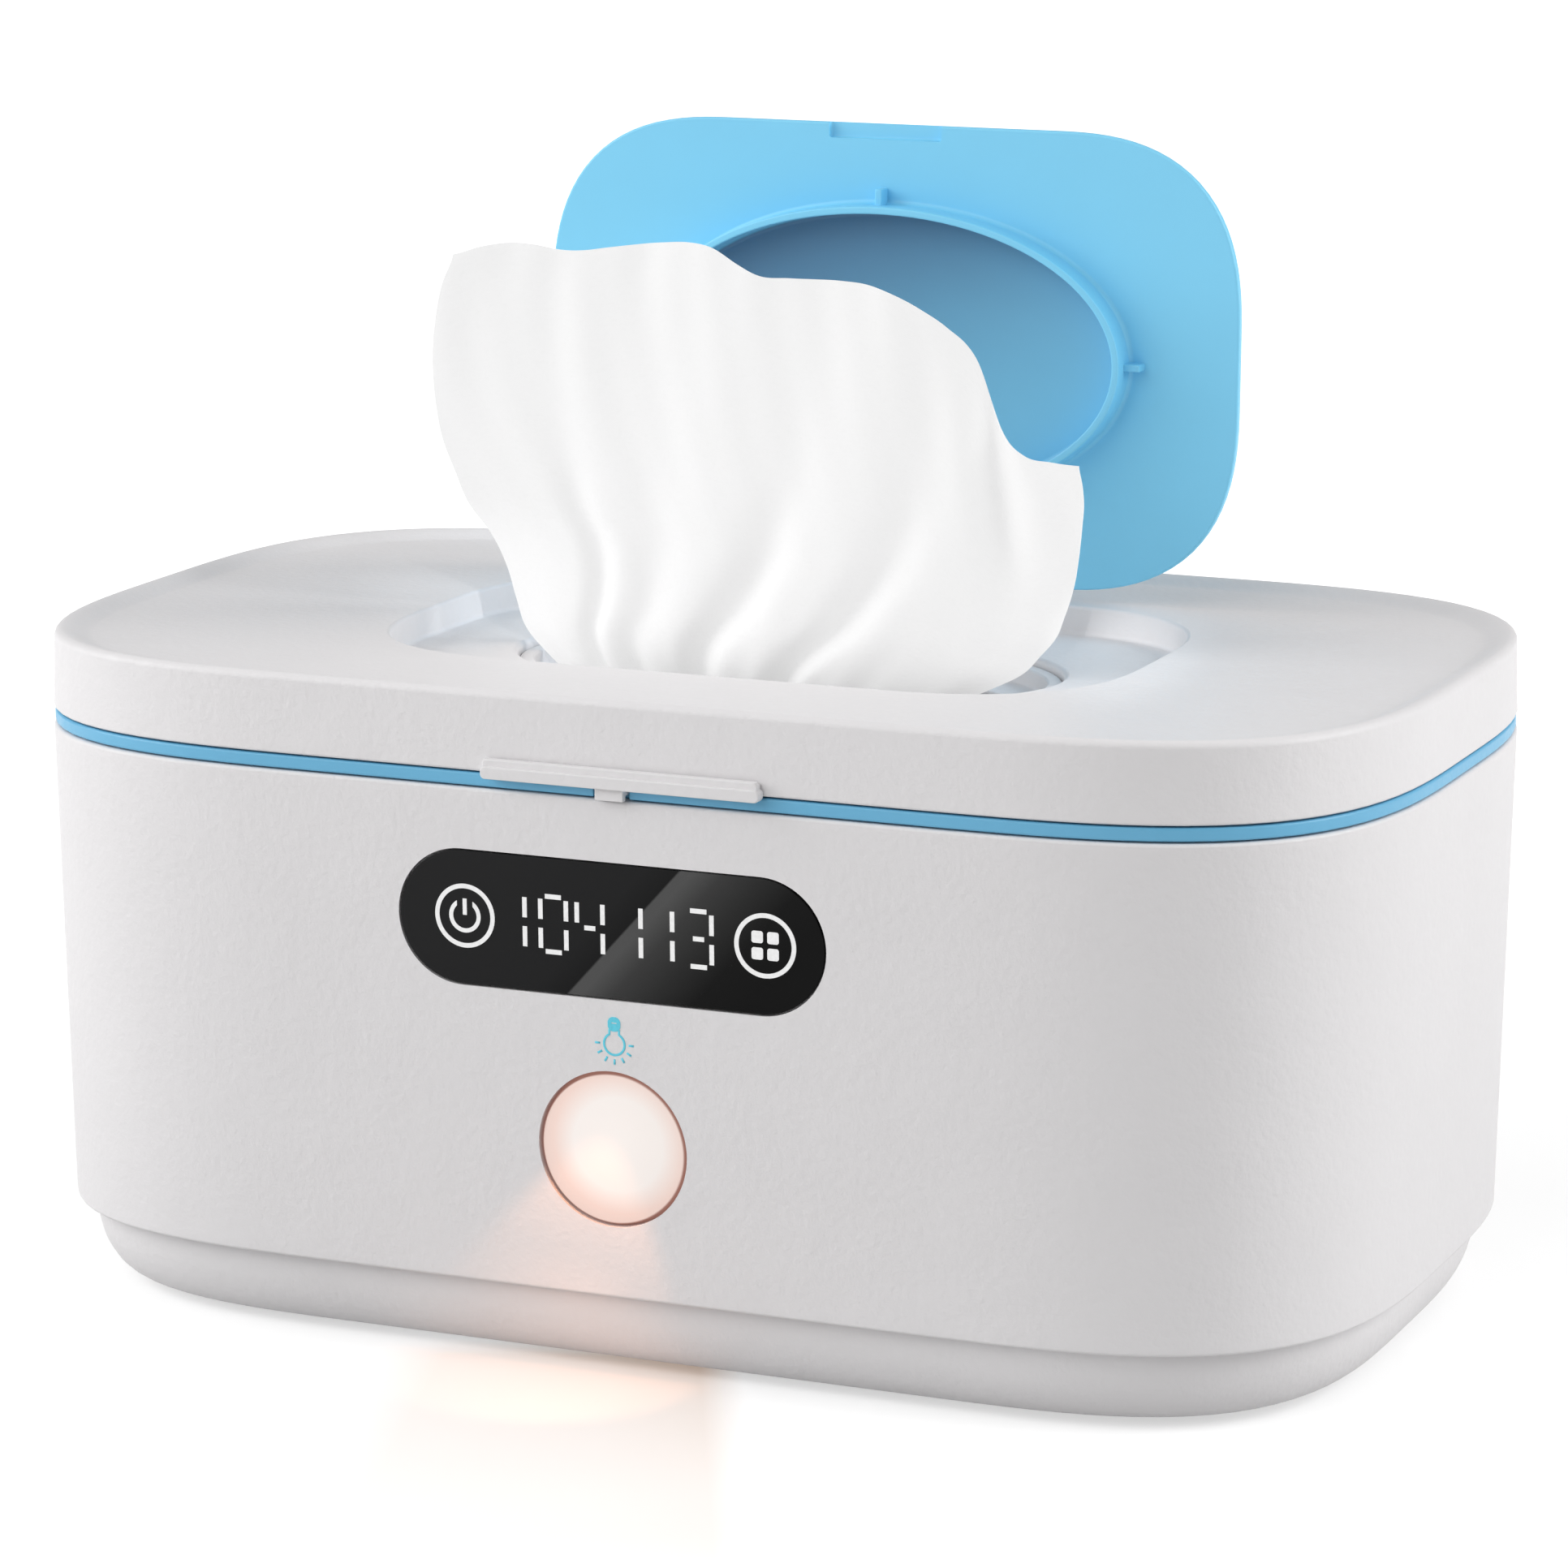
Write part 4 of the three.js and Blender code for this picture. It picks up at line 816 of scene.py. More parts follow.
class Look(Enum):
    """Finishes of the warmer, with the material slot of those that new pieces wear."""

    SHELL = "shell_plastic", Moulded("white moulding", paint(231, 229, 230), 0.52, 0.0014, 0.00012, 0.006)
    INNER = "inner_plastic", Moulded("inner moulding", paint(222, 220, 220), 0.45, 0.0011, 0.00001, 0.01)
    CAP = "blue_plastic", CapMoulding("cap moulding", paint(132, 215, 250), 0.4, 0.0009, 0.000006, 0.015)
    # Painted shade: the trim band wears a darker copy of the cap's blue plastic.
    BAND = "blue_plastic", Moulded("blue trim moulding with painted shade", paint(107, 182, 220), 0.4, 0.0009, 0.000006, 0.015)
    # The cyan print glows faintly: painted light.
    MARK = "blue_plastic", Ink("cyan print", paint(96, 205, 226), 0.08)
    BLACK = "black_plastic", Moulded("black moulding", paint(26, 26, 27), 0.5, 0.0006, 0.00002, 0.05)
    WINDOW = "black_window", SmokedWindow("smoked window")
    LENS = "lens_plastic", LitLens("lit frosted lens")
    READOUT = "lens_plastic", Ink("lit segments", paint(200, 200, 200), 0.62)
    RUBBER = "grey_rubber", Moulded("grey rubber", paint(120, 122, 125), 0.85, 0.0005, 0.00004, 0.06)
    SILICONE = "silicone", Moulded("pale silicone", paint(214, 217, 221), 0.65, 0.0012, 0.00002, 0.03)
    STEEL = "steel", Metal("plated steel", paint(186, 188, 192))
    CLOTH = "wipe_cloth", NonWoven("non-woven cloth", paint(178, 178, 178), 0.5)
    ALUMINIUM = None, Metal("rolled aluminium", paint(204, 206, 210), 0.4)
    FILM = None, Moulded("amber film", paint(180, 105, 31), 0.3, 0.002, 0.00002, 0.08, 0.4)
    FELT = None, Felt("pressed felt", paint(217, 214, 207))
    BOARD = None, Board("board lacquer", paint(24, 84, 52))
    SLEEVE = None, Moulded("black sleeve", paint(38, 38, 40), 0.6, 0.0007, 0.00003, 0.05)

    def __init__(self, slot: str | None, finish: Finish) -> None:
        """Keeps the slot and the finish."""
        self.slot, self.finish = slot, finish

    @cached_property
    def material(self) -> Material:
        """The material, made when it is first asked for."""
        return self.finish.build()


class Body(Enum):
    """Bodies of the frame that a piece can ride on."""

    HOUSING = "housing"
    LID = "lid"
    CAP = "cap"
    BUTTON = "light_button"


def publish(piece: Thing, name: str, body: Body, look: Look, *nodes: str, angle: float | None = 34.0) -> None:
    """Smooths, names and dresses a finished piece, and says where it rides and what it stands for.

    Args:
        piece: The piece, in place.
        name: Its name.
        body: Body that it rides on.
        look: Its finish and material slot.
        nodes: Nodes of the frame that it replaces.
        angle: Largest angle that is shaded smooth, in degrees, or nothing for a flat mark.
    """
    if angle is not None:
        choose(piece)
        bpy.ops.object.shade_smooth_by_angle(angle=math.radians(angle))
        modify(piece, "WEIGHTED_NORMAL", keep_sharp=True)
    piece.name = piece.data.name = name
    piece.data.materials.clear()
    piece.data.materials.append(look.material)
    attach(piece, body.value)
    if nodes:
        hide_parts(*nodes)
    LOG.info("%s: %d faces, on %s", name, len(piece.data.polygons), body.value)


@dataclass(frozen=True)
class Housing:
    """Plan and levels that the housing and the lid share."""

    half_width: float = 0.120
    half_depth: float = 0.0722
    corner: float = 0.068
    power: float = 3.15
    tray_z: float = 0.0015
    wall_z: float = 0.0145
    rim_z: float = 0.0972
    lid_z: float = 0.1
    crest_z: float = 0.1132
    draft: float = 0.00164
    wall: float = 0.0025
    gap: float = 0.0003
    edge: float = 0.0006

    def loop(self, inset: float, height: float) -> Loop:
        """Plan of the housing, set in by an amount, at one height."""
        half_x, half_y = self.half_width - inset, self.half_depth - inset
        return Loop(half_x, half_y, height, self.corner - inset, self.power, SHIFT_Y)

    def wall_inset(self, height: float) -> float:
        """Inset of the drafted wall at a height."""
        return self.draft * (self.rim_z - height) / (self.rim_z - self.wall_z)

    def front_matrix(self, height: float) -> Matrix:
        """Place on the front wall: X across, Y up the wall and Z out of it.

        Args:
            height: Height of the place above the table.

        Returns:
            The matrix of the place.
        """
        tilt = math.atan(self.draft / (self.rim_z - self.wall_z))
        place = Matrix.Translation((0.0, self.wall_inset(height) - self.half_depth + SHIFT_Y, height))
        return place @ Matrix.Rotation(math.pi / 2 + tilt, 4, "X")


@dataclass(frozen=True)
class Recess:
    """Flip cap plan, the recess that it closes and the stepped opening in it."""

    half_width: float = 0.0646
    half_depth: float = 0.03975
    corner: float = 0.034
    power: float = 2.6
    centre_y: float = 0.00165
    gap: float = 0.0011
    dish_z: float = 0.1117
    floor_z: float = 0.1066
    lid_wall: float = 0.0024
    rounding: float = 0.0007
    foot: float = 0.0008
    collar_x: float = 0.04361
    collar_y: float = 0.02461
    collar_wall: float = 0.0013
    collar_room: float = 0.0009
    step_width: float = 0.0026
    step_z: float = 0.1052
    ledge_z: float = 0.1022
    hinge_y: float = 0.045353
    hinge_z: float = 0.1098
    hinge_room: float = 0.0031
    pocket_wall: float = 0.0022
    bottom_z: float = 0.11
    open_angle: float = 91.0

    @property
    def middle(self) -> float:
        """Y of its middle in the frame."""
        return self.centre_y + SHIFT_Y

    @property
    def step(self) -> float:
        """Growth from the collar's inner wall to the wall of the opening's step."""
        return self.collar_wall + self.collar_room

    @property
    def insert(self) -> float:
        """Growth from the collar's inner wall to the outside of the dispenser insert."""
        return self.step + self.step_width

    def loop(self, growth: float, height: float, centre_y: float | None = None) -> Loop:
        """Plan of the cap.

        Args:
            growth: How much wider it is all round.
            height: Its level.
            centre_y: Y of its middle, or nothing for its place in the frame.

        Returns:
            The outline.
        """
        middle = self.middle if centre_y is None else centre_y
        half_x, half_y = self.half_width + growth, self.half_depth + growth
        return Loop(half_x, half_y, height, self.corner + growth, self.power, middle)

    def oval(self, growth: float, height: float, centre_y: float | None = None) -> Loop:
        """Outline of the collar's inner wall, grown by an amount."""
        middle = self.middle if centre_y is None else centre_y
        return Loop(self.collar_x + growth, self.collar_y + growth, height, centre_y=middle, shape=Shape.OVAL)


def corners(place: Pair) -> dict[str, Pair]:
    """The four corner places of a pair of distances.

    Args:
        place: Distances from the middle along X and Y.

    Returns:
        X and Y of each corner by its name.
    """
    x, y = place
    rear, front = SHIFT_Y + y, SHIFT_Y - y
    return {"rear_right": (x, rear), "rear_left": (-x, rear), "front_left": (-x, front), "front_right": (x, front)}


@dataclass(frozen=True)
class Screw:
    """Pan head screw with a cross shaped drive, head down."""

    head: float
    height: float
    shank: float
    length: float

    def build(self) -> Thing:
        """Makes the screw, with the underside of its head at the origin.

        Returns:
            The screw.
        """
        crown, height, shank = self.head * 0.7, self.height, self.shank
        pitch = shank * 0.7
        rows = [(crown * 0.5, -height), (crown, -height)]
        rows += [
            (crown + (self.head - crown) * sine, height * (0.6 * (1 - cosine) - 1)) for sine, cosine in arc(30, 90, 4)
        ]
        rows += [(self.head, 0.0), (shank, 0.0)]
        for turn in range(int((self.length - shank) / pitch)):
            rows += [(shank * 0.8, pitch * (turn + 0.25)), (shank, pitch * (turn + 0.75))]
        rows += [(shank * 0.2, self.length)]
        long, short = crown * 1.5, crown * 0.28
        slots = (block((*size, height), (0.0, 0.0, -height)) for size in ((long, short), (short, long)))
        return cut(loft(discs(*rows)), *slots)

    def set_four(self, place: Pair, level: float, body: Body, name: str, node: str) -> None:
        """Sets four of them at the corners.

        Args:
            place: Distances of the corners from the middle.
            level: Height of the underside of the heads.
            body: Body that they ride on.
            name: Start of their names.
            node: Start of the names of the nodes that they stand for.
        """
        for corner, (x, y) in corners(place).items():
            screw = settle(self.build(), Matrix.Translation((x, y, level)))
            publish(screw, f"{name}_{corner}", body, Look.STEEL, f"{node}_{corner}", angle=30)


@dataclass
class Shell:
    """Housing wall, bottom tray, trim ring, tank, hinges, feet and screws."""

    housing: Housing
    tray_inset: float = 0.0029
    tray_curve: float = 0.0068
    tray_floor: float = 0.003
    tray_side: float = 0.0022
    spigot: float = 0.006
    foot: Pair = (0.086, 0.04)
    foot_radius: float = 0.007
    foot_round: float = 0.0005
    screw: Pair = (0.062, 0.042)
    head_radius: float = 0.0032
    bore: float = 0.0018
    panel: Point = (0.0757, 0.0371, 0.01105)
    panel_ledge: float = 0.0016
    panel_sunk: float = 0.0013
    cut_deep: float = 0.0045
    cut_over: float = 0.001
    foot_sunk: float = 0.001
    foot_top: float = 0.0007
    head_sunk: float = 0.0022
    head_level: float = 0.0019
    lens: Pair = (0.0395, 0.0126)
    lens_gap: float = 0.00045
    inlet: Pair = (0.044, 0.0267)
    inlet_radius: float = 0.004
    hinge: Point = (0.046, 0.0758, 0.0986)
    hinge_radius: float = 0.0031
    hinge_half: float = 0.013
    leaf: float = 0.0047
    trim_edge: float = 0.0004
    trim_inset: float = 0.0002
    trim_inner: float = 0.007
    skirt: float = 0.005
    tank: Point = (0.108, 0.0575, 0.03)
    tank_bottom: float = 0.024
    tank_wall: float = 0.0016
    tank_draft: float = 0.001
    tank_round: float = 0.005
    flange: float = 0.0012
    flange_inset: float = 0.005
    tank_boss: Point = (0.0045, 0.0048, 0.0008)
    tank_bore: Pair = (0.004, 0.0177)
    notch: Point = (0.0064, 0.004, 0.0038)
    notch_x: float = 0.0006
    notch_rise: float = 0.0012
    socket_side: float = 0.011
    socket_bore: float = 0.0029
    socket_nose: float = 0.0022
    socket_pin: float = 0.0009

    def wall(self) -> None:
        """Drafted wall with its window, button hole, inlet hole and hinge knuckles."""
        base = self.housing
        low, high, edge, gap = base.wall_z, base.rim_z, base.edge, base.gap
        foot = base.wall_inset(low)
        piece = loft([
            *quarter(base.loop, (foot + edge, low), (foot, low + edge), 4),
            *(base.loop(base.wall_inset(z), z) for z in (low + 3 * edge, high - 3 * edge)),
            *quarter(base.loop, (0.0, high - edge), (edge, high), 4, upright=True),
            base.loop(base.wall, high), base.loop(base.wall + base.draft, low),
        ], ring=True)
        height, length, tall = self.panel
        (lens_z, lens_radius), (inlet_x, inlet_z) = self.lens, self.inlet
        panel, ledge, back = base.front_matrix(height), self.panel_ledge, base.half_depth + SHIFT_Y
        deep, over = -self.cut_deep, self.cut_over
        cut(
            piece, settle(stadium(length + gap, tall + gap, -self.panel_sunk, over), panel),
            settle(stadium(length - ledge, tall - ledge, deep, over), panel),
            settle(post(lens_radius + self.lens_gap, (0.0, 0.0), deep, 0.002, 96), base.front_matrix(lens_z)),
            rod(self.inlet_radius + gap, (inlet_x, back - 0.006, inlet_z), (inlet_x, back + 0.002, inlet_z)),
        )
        self.knuckles(piece, [(-0.012, -0.0053), (0.0053, 0.012)], base.rim_z - 0.0004, -0.009)
        publish(piece, "housing_wall", Body.HOUSING, Look.SHELL, "body_shell")

    def knuckles(self, piece: Thing, spans: Sequence[Pair], level: float, reach: float) -> None:
        """Adds hinge knuckles with their leaves to the rear of a piece.

        Args:
            piece: Wall or lid.
            spans: Places of the knuckles along X from the middle of each hinge.
            level: Height of the leaf's free end next to the joint line.
            reach: Height of its other end from the hinge axis.
        """
        hinge_x, hinge_y, hinge_z = self.hinge
        axis = hinge_y + SHIFT_Y
        low, high = sorted((level, hinge_z + reach))
        for middle in (-hinge_x, hinge_x):
            for first, last in spans:
                start, end = middle + first, middle + last
                knuckle = rod(self.hinge_radius, (start, axis, hinge_z), (end, axis, hinge_z), 40)
                size = (end - start, self.leaf, high - low)
                join(piece, knuckle, block(size, ((start + end) / 2, axis - self.leaf / 2, (low + high) / 2)))
            ends = ((middle + side * self.hinge_half, axis, hinge_z) for side in SIDES)
            cut(piece, rod(self.bore, *ends, 32))

    def tray(self) -> None:
        """Bottom tray with its bulged side, foot pockets and screw pockets."""
        base, curve, side = self.housing, self.tray_curve, self.tray_side
        gap, rim, top = base.gap, base.draft + self.tray_inset, base.wall_z + self.spigot
        inner, floor = rim + side, base.tray_z + self.tray_floor
        piece = loft([
            *quarter(base.loop, (rim + curve, base.tray_z), (rim, base.wall_z - gap), 14),
            base.loop(rim, top), base.loop(inner, top), base.loop(inner, base.wall_z - side),
            base.loop(inner + curve / 2, floor + side), base.loop(inner + curve, floor),
        ])
        for place in corners(self.foot).values():
            cut(piece, post(self.foot_radius + gap, place, 0.0, base.tray_z + self.foot_sunk, 64))
        for place in corners(self.screw).values():
            pocket = post(self.head_radius + gap, place, 0.0, base.tray_z + self.head_sunk, 40)
            cut(piece, pocket, post(self.bore, place, 0.0, floor + self.cut_over))
        publish(piece, "bottom_tray", Body.HOUSING, Look.SHELL, "base_tray", angle=28)

    def feet(self) -> None:
        """Four rubber feet with a rounded edge and a shallow dimple."""
        radius, edge = self.foot_radius, self.foot_round
        rows = [(0.0028, 0.0004), (0.0034, 0.0), (radius - edge, 0.0)]
        rows += [(radius + edge * (sine - 1), edge * (1 - cosine)) for sine, cosine in arc(20, 90, 4)]
        rows += [(radius, self.housing.tray_z + self.foot_top)]
        for corner, (x, y) in corners(self.foot).items():
            piece = settle(loft(discs(*rows)), Matrix.Translation((x, y, 0.0)))
            publish(piece, f"rubber_foot_{corner}", Body.HOUSING, Look.RUBBER, f"foot_{corner}")

    def screws(self) -> None:
        """Four base screws in the tray's pockets."""
        screw = Screw(head=self.head_radius, height=0.0016, shank=0.0015, length=0.014)
        screw.set_four(self.screw, self.housing.tray_z + self.head_level, Body.HOUSING, "tray_screw", "base_screw")

    def trim(self) -> None:
        """Light blue ring between housing and lid, with the notch for the catch tab."""
        base, inset, edge = self.housing, self.trim_inset, self.trim_edge
        bottom, top, low = base.rim_z + base.gap, base.lid_z - base.gap, base.rim_z - self.skirt
        piece = loft([
            *quarter(base.loop, (inset + edge, bottom), (inset, bottom + edge), 3),
            *quarter(base.loop, (inset, top - edge), (inset + edge, top), 3, upright=True),
            base.loop(self.trim_inner, top), base.loop(self.trim_inner, low),
            base.loop(base.wall + base.wall_inset(low) + base.gap, low), base.loop(base.wall + base.gap, bottom),
        ], ring=True)
        notch = block(self.notch, (self.notch_x, SHIFT_Y - base.half_depth, base.rim_z + self.notch_rise))
        publish(cut(piece, notch), "trim_band", Body.HOUSING, Look.BAND, "trim_ring")

    def tub(self) -> None:
        """Inner tank with a rounded floor edge and its flange on the ring."""
        half_x, half_y, corner = self.tank
        wall, draft, curve = self.tank_wall, self.tank_draft, self.tank_round
        base, bottom, top = self.housing, self.tank_bottom, self.housing.lid_z
        inner, floor = wall + draft, bottom + wall

        def level(inset: float, height: float) -> Loop:
            """Plan of the tank, set in by an amount."""
            return Loop(half_x - inset, half_y - inset, height, corner - inset, 2.5, SHIFT_Y)

        piece = loft([
            *quarter(level, (draft + curve, bottom), (draft, bottom + curve), 6),
            level(0.0, base.rim_z - self.skirt), level(0.0, top), base.loop(self.flange_inset, top),
            base.loop(self.flange_inset, top + self.flange), level(wall, top + self.flange),
            *quarter(level, (inner, floor + curve), (inner + curve, floor), 6, upright=True),
        ])
        boss, low, sunk = self.tank_boss
        for place in corners(self.screw).values():
            join(piece, post(boss, place, low, bottom + sunk))
            cut(piece, post(self.bore, place, *self.tank_bore, 24))
        publish(piece, "wipe_tank", Body.HOUSING, Look.INNER, "inner_tank")

    def socket(self) -> None:
        """Power inlet with a round nose, its bore and centre pin."""
        low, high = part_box("power_inlet")
        length, radius, (inlet_x, inlet_z) = high.y - low.y, self.inlet_radius, self.inlet
        top, side, pin = length - self.socket_nose, self.socket_side, self.socket_pin
        nose = loft(discs((radius, top - 0.001), (radius, length - 0.0003), (radius - 0.0003, length)))
        body = join(block((side, side, top), (0.0, 0.0, top / 2), 0.0003), nose)
        cut(body, post(self.socket_bore, (0.0, 0.0), 0.002, length + self.cut_over, 40))
        join(body, loft(discs((pin, 0.001), (pin, length - 0.0006), (0.0004, length - 0.0002))))
        settle(body, Matrix.Translation((inlet_x, low.y, inlet_z)) @ Matrix.Rotation(-math.pi / 2, 4, "X"))
        publish(body, "inlet_socket", Body.HOUSING, Look.BLACK, "power_inlet")

    def build(self) -> None:
        """Makes all the housing pieces."""
        for step in (self.wall, self.tray, self.feet, self.screws, self.trim, self.tub, self.socket):
            step()


@dataclass
class Lid:
    """Lid moulding, liner, gasket, dispenser insert, lift bar and lid screws."""

    housing: Housing
    recess: Recess
    shell: Shell
    draft: float = 0.0003
    edge: float = 0.0005
    crest: float = 0.0013
    dish_drop: float = 0.0015
    dish_inset: float = 0.0047
    dish_steps: int = 8
    lip: float = 0.001
    slot: Pair = (0.0398, 0.01608)
    pocket_half: float = 0.0153
    pocket_stub: float = 0.0024
    pocket_deep: float = 0.0021
    pocket_sunk: float = 0.0005
    pocket_bore: float = 0.0014
    boss: Pair = (0.092, 0.034)
    boss_radius: float = 0.003
    boss_low: float = 0.105
    boss_sunk: float = 0.0012
    boss_bore: float = 0.0015
    bore_span: Pair = (0.1047, 0.1083)
    ledge_thick: float = 0.0018
    flange_thick: float = 0.0016
    flange_reach: float = 0.0034
    liner_inset: float = 0.006
    gasket_inset: float = 0.0074
    gasket_half: float = 0.0015
    liner_edge: float = 0.0003
    liner_cut: Pair = (0.0404, 0.006)
    bar_x: float = 0.0029
    bar_half: float = 0.0241
    tab_x: float = 0.0009
    tab_width: float = 0.0049

    def cover(self) -> None:
        """Drafted wall, rolled rim, dish, cap recess with its fillets, hinge pocket and knuckles."""
        base, cap, edge, crest = self.housing, self.recess, self.edge, self.crest
        wall, gap, rim, floor = cap.lid_wall, cap.gap, cap.dish_z, cap.floor_z
        hole, lip, under = cap.insert + base.gap, self.lip, cap.floor_z - cap.lid_wall
        start, end = self.draft + crest, self.dish_inset + crest
        dish = []
        for step in range(1, self.dish_steps + 1):
            share = step / self.dish_steps
            drop = self.dish_drop * share * share * (3 - 2 * share)
            dish.append(base.loop(start + (end - start) * share, base.crest_z - drop))
        piece = loft([
            *quarter(base.loop, (edge, base.lid_z), (0.0, base.lid_z + edge), 3),
            base.loop(self.draft * 0.3, base.lid_z + 3 * edge),
            *quarter(base.loop, (self.draft, base.crest_z - crest), (start, base.crest_z), 12, upright=True),
            *dish,
            *quarter(cap.loop, (gap + cap.rounding, rim), (gap, rim - cap.rounding), 6),
            *quarter(cap.loop, (gap, floor + cap.foot), (gap - cap.foot, floor), 8, upright=True),
            *quarter(cap.oval, (hole + lip, floor), (hole, floor - lip), 6),
            cap.oval(hole, under), cap.loop(gap + wall / 2, under), cap.loop(gap + wall, rim - wall),
            base.loop(end, rim - wall), base.loop(wall + crest, rim - wall / 2),
            base.loop(wall, rim - wall - crest / 2), base.loop(wall, base.lid_z),
        ], ring=True)
        self.pocket(piece)
        self.shell.knuckles(piece, [(-0.005, 0.005)], base.lid_z + 0.0003, 0.0031)
        for place in corners(self.boss).values():
            join(piece, post(self.boss_radius, place, self.boss_low, rim - self.boss_sunk))
            cut(piece, post(self.boss_bore, place, *self.bore_span, 24))
        publish(piece, "lid_moulding", Body.LID, Look.SHELL, "lid_cover", angle=30)

    def pocket(self, piece: Thing) -> None:
        """Sinks the hinge pocket of the cap into the rear of the recess.

        Args:
            piece: The lid moulding.
        """
        cap, half, around = self.recess, self.pocket_half, self.recess.pocket_wall
        reach, axis = half + self.pocket_stub, cap.hinge_y + SHIFT_Y
        edge, back, bottom = cap.middle + cap.half_depth, axis + cap.hinge_room, cap.hinge_z - self.pocket_deep

        def fill(wide: float, span: Pair, heights: Pair, soft: float = 0.0) -> Thing:
            """Block of a half width over a span of Y and of Z."""
            size = (2 * wide, span[1] - span[0], heights[1] - heights[0])
            return block(size, (0.0, sum(span) / 2, sum(heights) / 2), soft)

        front = edge + cap.gap - self.pocket_sunk
        join(piece, fill(reach + around, (front, back + around), (bottom - around, cap.dish_z - self.pocket_sunk)))
        cut(
            piece, fill(half, (edge - cap.rounding, back), (bottom, cap.dish_z + 0.001), 0.0003),
            rod(self.pocket_bore, (-reach, axis, cap.hinge_z), (reach, axis, cap.hinge_z), 32),
        )

    def insert(self) -> None:
        """Dispenser insert: step, wall round the collar, ledge and slot."""
        cap, edge = self.recess, self.edge
        step, outer, top, ledge = cap.step, cap.insert, cap.step_z, cap.ledge_z
        flange, rim = cap.floor_z - cap.lid_wall - self.housing.gap, outer + self.flange_reach
        low, bottom, under = flange - self.flange_thick, ledge - self.ledge_thick, step + self.ledge_thick
        slot_x, slot_y = self.slot

        def slot(growth: float, height: float) -> Loop:
            """Outline of the slot, grown by an amount."""
            return Loop(slot_x + growth, slot_y + growth, height, centre_y=cap.middle, shape=Shape.OVAL)

        piece = loft([
            cap.oval(outer, flange),
            *quarter(cap.oval, (outer, top - edge), (outer - edge, top), 4, upright=True),
            *quarter(cap.oval, (step + edge, top), (step, top - edge), 4),
            *quarter(cap.oval, (step, ledge + edge), (step - edge, ledge), 4, upright=True),
            *quarter(slot, (edge, ledge), (0.0, ledge - edge), 4),
            slot(0.0, bottom), cap.oval(under, bottom), cap.oval(under, low), cap.oval(rim, low), cap.oval(rim, flange),
        ], ring=True)
        publish(piece, "dispenser_insert", Body.LID, Look.SHELL, "dispenser_ring")

    def liner(self) -> None:
        """Liner plate below the lid, with screw holes and the cut round the hinge pocket."""
        base, cap, inset, edge = self.housing, self.recess, self.liner_inset, self.liner_edge
        wide, tall = self.liner_cut
        low, high = (corner.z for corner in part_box("lid_liner"))
        room = cap.gap + cap.lid_wall
        hole = room + base.gap
        piece = loft([
            base.loop(inset + edge, low), base.loop(inset, low + edge), base.loop(inset, high),
            cap.loop(hole, high), cap.loop(hole, low + edge), cap.loop(hole + edge, low),
        ], ring=True)
        for place in corners(self.boss).values():
            cut(piece, post(self.boss_bore, place, low - 0.001, high + 0.001, 24))
        depth = cap.hinge_room + cap.pocket_wall + cap.gap + room
        cut(piece, block((wide, depth, tall), (0.0, cap.hinge_y + depth / 2 - room + SHIFT_Y, low)))
        publish(piece, "lid_liner_plate", Body.LID, Look.INNER, "lid_liner")

    def gasket(self) -> None:
        """Silicone gasket with a rounded sealing lip."""
        base, half, inset = self.housing, self.gasket_half, self.gasket_inset
        low, high = (corner.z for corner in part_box("lid_gasket"))
        rows = [
            base.loop(inset + half * (1 - cosine), low + (high - low) / 3 * (1 - sine))
            for sine, cosine in arc(0, 180, 10)
        ]
        piece = loft([*rows, base.loop(inset + 2 * half, high), base.loop(inset, high)], ring=True)
        publish(piece, "sealing_gasket", Body.LID, Look.SILICONE, "lid_gasket")

    def screws(self) -> None:
        """Four small screws that hold the liner."""
        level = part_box("lid_liner")[0].z - self.housing.gap
        screw = Screw(head=0.0024, height=0.0011, shank=0.0012, length=0.005)
        screw.set_four(self.boss, level, Body.LID, "liner_screw", "lid_screw")

    @staticmethod
    def bar(middle: float, half: float, depth: Pair, height: Pair, radius: float) -> Thing:
        """Bar across the front whose ends are round as seen from the front.

        Args:
            middle: X of its middle.
            half: Half of its length.
            depth: Y of its front and of its back.
            height: Z of its underside and of its top.
            radius: Radius of the ends.

        Returns:
            The bar.
        """
        size = (2 * half, depth[1] - depth[0], height[1] - height[0])
        item = block(size, (middle, sum(depth) / 2, sum(height) / 2))
        with editing(item):
            pick(item, "edges", lambda edge: abs(edge.verts[0].co.y - edge.verts[1].co.y) > size[1] / 2)
            bpy.ops.mesh.bevel(offset=radius, segments=6, affect="EDGES")
        angle = math.radians(40)
        return modify(item, "BEVEL", width=0.0002, segments=3, limit_method="ANGLE", angle_limit=angle)

    def lift_bar(self) -> None:
        """Lift bar with its thin upper step, the catch tab and the rib behind it."""
        low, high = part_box("lift_bar")
        front, back, bottom = low.y, high.y - 0.0018, self.housing.lid_z - 0.0006
        middle, half, tab_x, wide = self.bar_x, self.bar_half, self.tab_x, self.tab_width
        piece = self.bar(middle, half, (front, back), (bottom, bottom + 0.002), 0.0008)
        depth, height = (front + 0.0007, back - 0.00001), (bottom + 0.0007, bottom + 0.0031)
        join(
            piece, self.bar(middle - 0.0002, half - 0.0003, depth, height, 0.0006),
            block((wide, 0.0012, 0.0024), (tab_x, back - 0.00062, bottom - 0.0008), 0.00015),
            block((wide, 0.0025, 0.0011), (tab_x, back + 0.0005, bottom - 0.0006), 0.0001),
        )
        publish(piece, "lid_lift_bar", Body.LID, Look.SHELL, "lift_bar")

    def build(self) -> None:
        """Makes all the lid pieces."""
        for step in (self.cover, self.insert, self.liner, self.gasket, self.screws, self.lift_bar):
            step()


